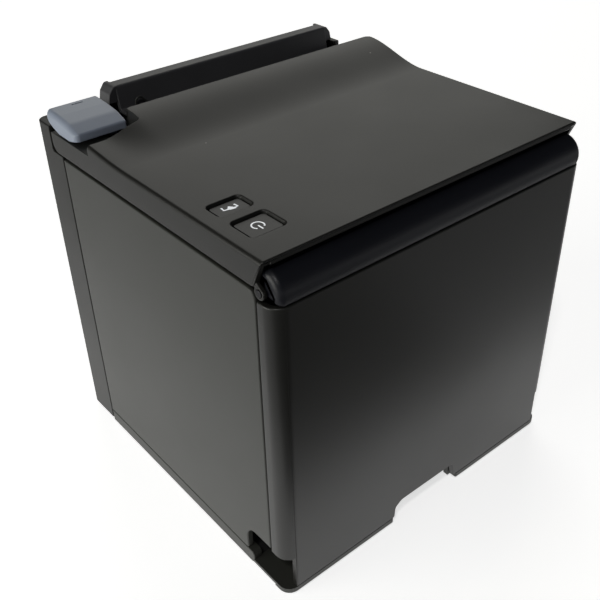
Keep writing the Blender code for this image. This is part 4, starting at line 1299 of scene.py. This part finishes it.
MAIN_CHIP = (10, 26, 12, 12, 1.4)
chips = [chip("chip", *spot) for spot in (
    MAIN_CHIP, (-10, 20, 7, 9, 1.4), (32, 40, 9, 6, 1.5), (34, 22, 5, 5, 1.2),
    (-12, 40, 5, 6, 1.2), (14, 51, 22, 5, 5.5), (-22, 51, 10, 5, 5.5), (43, 52, 12, 5, 5.5),
)]
fitted(gathered("board_chips", chips), "socket", slot="socket_plastic")
grid_x, grid_y = np.meshgrid(np.arange(0, 30, 3.0), np.array([8.0, 10.5, 37.0, 43.0]))
resistors = [chip("resistor", x, y, 1.0, 1.6, 0.55, 0.08) for x, y in zip(grid_x.ravel(), grid_y.ravel())]
fitted(gathered("board_resistors", resistors), "ceramic", slot="board_green")
cans = [can(*spot) for spot in (
    (-24, 10, 4.0, 11.0), (-24, 30, 4.0, 11.0), (24, 33, 2.6, 6.0), (42, 12, 3.2, 8.0), (42, 30, 2.6, 6.0),
)]
fitted(gathered("board_cans", cans), "aluminium", slot="heat_sink_aluminium", sharp=30)
legs = []
for out in (-6.8, 6.8):
    for step in np.linspace(-5, 5, 14):
        for dx, dy, half_x, half_y in ((out, step, 0.8, 0.15), (step, out, 0.15, 0.8)):
            x, y = MAIN_CHIP[0] + dx, MAIN_CHIP[1] + dy
            legs.append(block("leg", x - half_x, x + half_x, y - half_y, y + half_y, SEAT, SEAT + 0.3))
fitted(gathered("chip_legs", legs), "bright", slot="spring_steel")

# %% [markdown]
# The small board in the lid carries a switch under each button: a black body with a round plunger,
# held down by a steel plate. The plate is a finish of its own, so it is a piece of its own.

# %% Button board and its switches
low, high = corners("button_board")
plate = slab("button_plate", rectangle(low[0], high[0], low[1], high[1], 1.0), "z", low[2], high[2], 0.08)
inside(plate, "board", "button_board")
for node in ("feed_switch", "power_switch"):
    low, high = corners(node)
    spot, top = middle(node)[:2], high[2]
    plan = rectangle(low[0], high[0], low[1], high[1], 0.3)
    body = slab(f"{node}_body", plan, "z", low[2], top - 0.7, 0.1)
    plunger = [(low[2] + 0.3, 1.3), (top - 0.15, 1.3), (top, 1.15)]
    join(body, turned("plunger", plunger, "z", spot, 32))
    inside(body, "socket", node)
    plan = rectangle(low[0] + 0.2, high[0] - 0.2, low[1] + 0.2, high[1] - 0.2, 0.3)
    cover = slab(f"{node}_plate", plan, "z", top - 0.72, top - 0.5, 0.06)
    cut(cover, turned("plunger_hole", [(low[2], 1.5), (top + 1, 1.5)], "z", spot, 32))
    fitted(cover, "steel", body="lid", slot="sheet_steel")

# %% [markdown]
# The sockets at the back of the bay are eased copies too. Looking into one, what tells it from a plain
# hole is its row of contacts, so every mouth gets gilt springs, and the power inlet its pin.

# %% Sockets and their contacts
CONTACT_Y = (-12.4, -3.2)


def contact_row(node, reach, count, z):
    """Row of flat springs, out to the reach on both sides of the middle of a socket's mouth."""
    half_width, thickness = 0.25, 0.25
    strips = [block("contact", x - half_width, x + half_width, *CONTACT_Y, z, z + thickness)
              for x in middle(node)[0] + np.linspace(-reach, reach, count)]
    name = node.replace("socket", "contacts")
    return fitted(gathered(name, strips), "gold", slot="spring_steel")


for node in SOCKETS:
    eased(node, "socket", 0.2)
contact_row("usb_socket", 1.8, 4, 13.31)
contact_row("network_socket", 3.6, 8, 14.6)
contact_row("drawer_socket", 2.6, 6, 14.2)
pin_profile = [(-12.0, 0.5), (-11.5, 1.0), (-2.5, 1.0)]
pin = turned("inlet_pin", pin_profile, "y", (middle("dc_inlet")[0], 12.0), 32)
fitted(pin, "bright", slot="spring_steel")

# %% [markdown]
# ## Floor, light and camera
#
# The printer stands on a sheet of pale paper that glows a little, as paper in a bright room does, and
# so lights the sides from below. Black plastic looks like what it mirrors, so cards are laid out for
# it: a dark one in front, a grey one at the right of it and another at the left. Only the plastic
# sees those three. A last one stands in for the shade inside the cable exit at the left front corner.

# %% Stage
def matt_sheet(name, x_range, y_range, z, colour, glow):
    """Matt four-cornered sheet at one height, in metres, that gives off some white light itself."""
    made, shader, _, _ = wired(name)
    for socket, value in (("Base Color", (*colour, 1.0)), ("Roughness", 0.9),
                          ("Emission Color", (1.0, 1.0, 1.0, 1.0)), ("Emission Strength", glow)):
        shader.inputs[socket].default_value = value
    (x0, x1), (y0, y1) = x_range, y_range
    mesh = bpy.data.meshes.new(name)
    mesh.from_pydata([(x0, y0, z), (x1, y0, z), (x1, y1, z), (x0, y1, z)], [], [(0, 1, 2, 3)])
    mesh.materials.append(made)
    piece = bpy.data.objects.new(name, mesh)
    bpy.context.scene.collection.objects.link(piece)
    return piece


def card(name, x_range, y_range, tone, glow, z=0.004, hidden=True):
    """Sheet that throws no shadow, and that the camera may not see while the glossy plastic does."""
    piece = matt_sheet(name, x_range, y_range, z, (tone, tone, tone * 1.05), glow)
    piece.visible_camera = not hidden
    piece.visible_shadow = False


matt_sheet("floor", (-4, 4), (-4, 4), -0.0002, (0.93, 0.93, 0.93), 0.68)
card("dark_card", (-0.55, 0.075), (-0.7, -0.100), 0.015, 0.0)
card("grey_card", (0.075, 0.6), (-0.7, -0.098), 0.3, 0.10)
card("side_card", (-0.8, -0.125), (-0.1, 0.8), 0.5, 0.16)
# Painted shade: a dark sheet under the printer that the camera sees through the left front cable exit, where
# shade falls and the glowing floor would show instead.
card("painted_shade_card", (-0.0615, -0.0225), (-0.0575, -0.012), 0.01, 0.0, z=0.0003, hidden=False)

# %% [markdown]
# Three area lights do the rest: a broad window behind on the right, a wide fill far round to the left,
# and a small lamp overhead that puts the glints on the corners. Point lamps would be simpler, but their
# glints are hard dots, while an area light leaves a soft streak.

# %% Lights
def soft_box(name, direction, distance, size, power, colour):
    """Square area light of the size in metres, at a distance in a direction from the printer."""
    towards = unit(np.array(direction, float))
    data = bpy.data.lights.new(name, "AREA")
    data.shape = "SQUARE"
    data.size = size
    data.energy = power
    data.color = colour
    light = bpy.data.objects.new(name, data)
    light.location = AIM + towards * distance
    light.rotation_euler = mathutils.Vector(-towards).to_track_quat("-Z", "Y").to_euler()
    bpy.context.scene.collection.objects.link(light)


AIM = np.array([0.0, 0.0, 0.065])
soft_box("window", (0.52, 0.64, 0.60), 1.4, 1.1, 4.4, (1.0, 0.995, 0.94))
soft_box("side_fill", (-0.95, 0.25, 0.10), 1.2, 0.9, 10.4, (1.0, 1.0, 0.93))
soft_box("ceiling_lamp", (-0.46, -0.34, 0.82), 1.6, 0.14, 5.0, (1.0, 0.99, 0.97))

world = bpy.data.worlds.new("dim_room")
world.use_nodes = True
sky = world.node_tree.nodes["Background"]
sky.inputs["Color"].default_value = (0.75, 0.80, 1.0, 1.0)
sky.inputs["Strength"].default_value = 0.025
bpy.context.scene.world = world
bpy.context.scene.view_settings.view_transform = "Standard"

# %% [markdown]
# The camera looks down on the corner between the left side and the front. Its place and angles are
# written as plain numbers and made a matrix at once, so there is no target that it has to track.

# %% Camera
def camera(azimuth, elevation, roll, place, lens):
    """Camera from angles in degrees: it looks along (-sin a cos e, cos a cos e, -sin e)."""
    a, e, r = np.radians([azimuth, elevation, roll])
    forward = np.array([-np.sin(a) * np.cos(e), np.cos(a) * np.cos(e), -np.sin(e)])
    right = np.array([np.cos(a), np.sin(a), 0.0])
    up = np.cross(right, forward)
    tilted_right = np.cos(r) * right + np.sin(r) * up
    tilted_up = -np.sin(r) * right + np.cos(r) * up
    data = bpy.data.cameras.new("camera")
    data.lens = lens
    data.sensor_width = 36.0
    data.clip_start = 0.01
    made = bpy.data.objects.new("camera", data)
    matrix = np.eye(4)
    matrix[:3] = np.column_stack([tilted_right, tilted_up, -forward, place])
    made.matrix_world = mathutils.Matrix(matrix.tolist())
    bpy.context.scene.collection.objects.link(made)
    bpy.context.scene.camera = made


camera(-38.93, 34.71, -1.512, (-0.1653, -0.1997, 0.2342), 51.17)
print("camera at", tuple(bpy.context.scene.camera.matrix_world.translation))
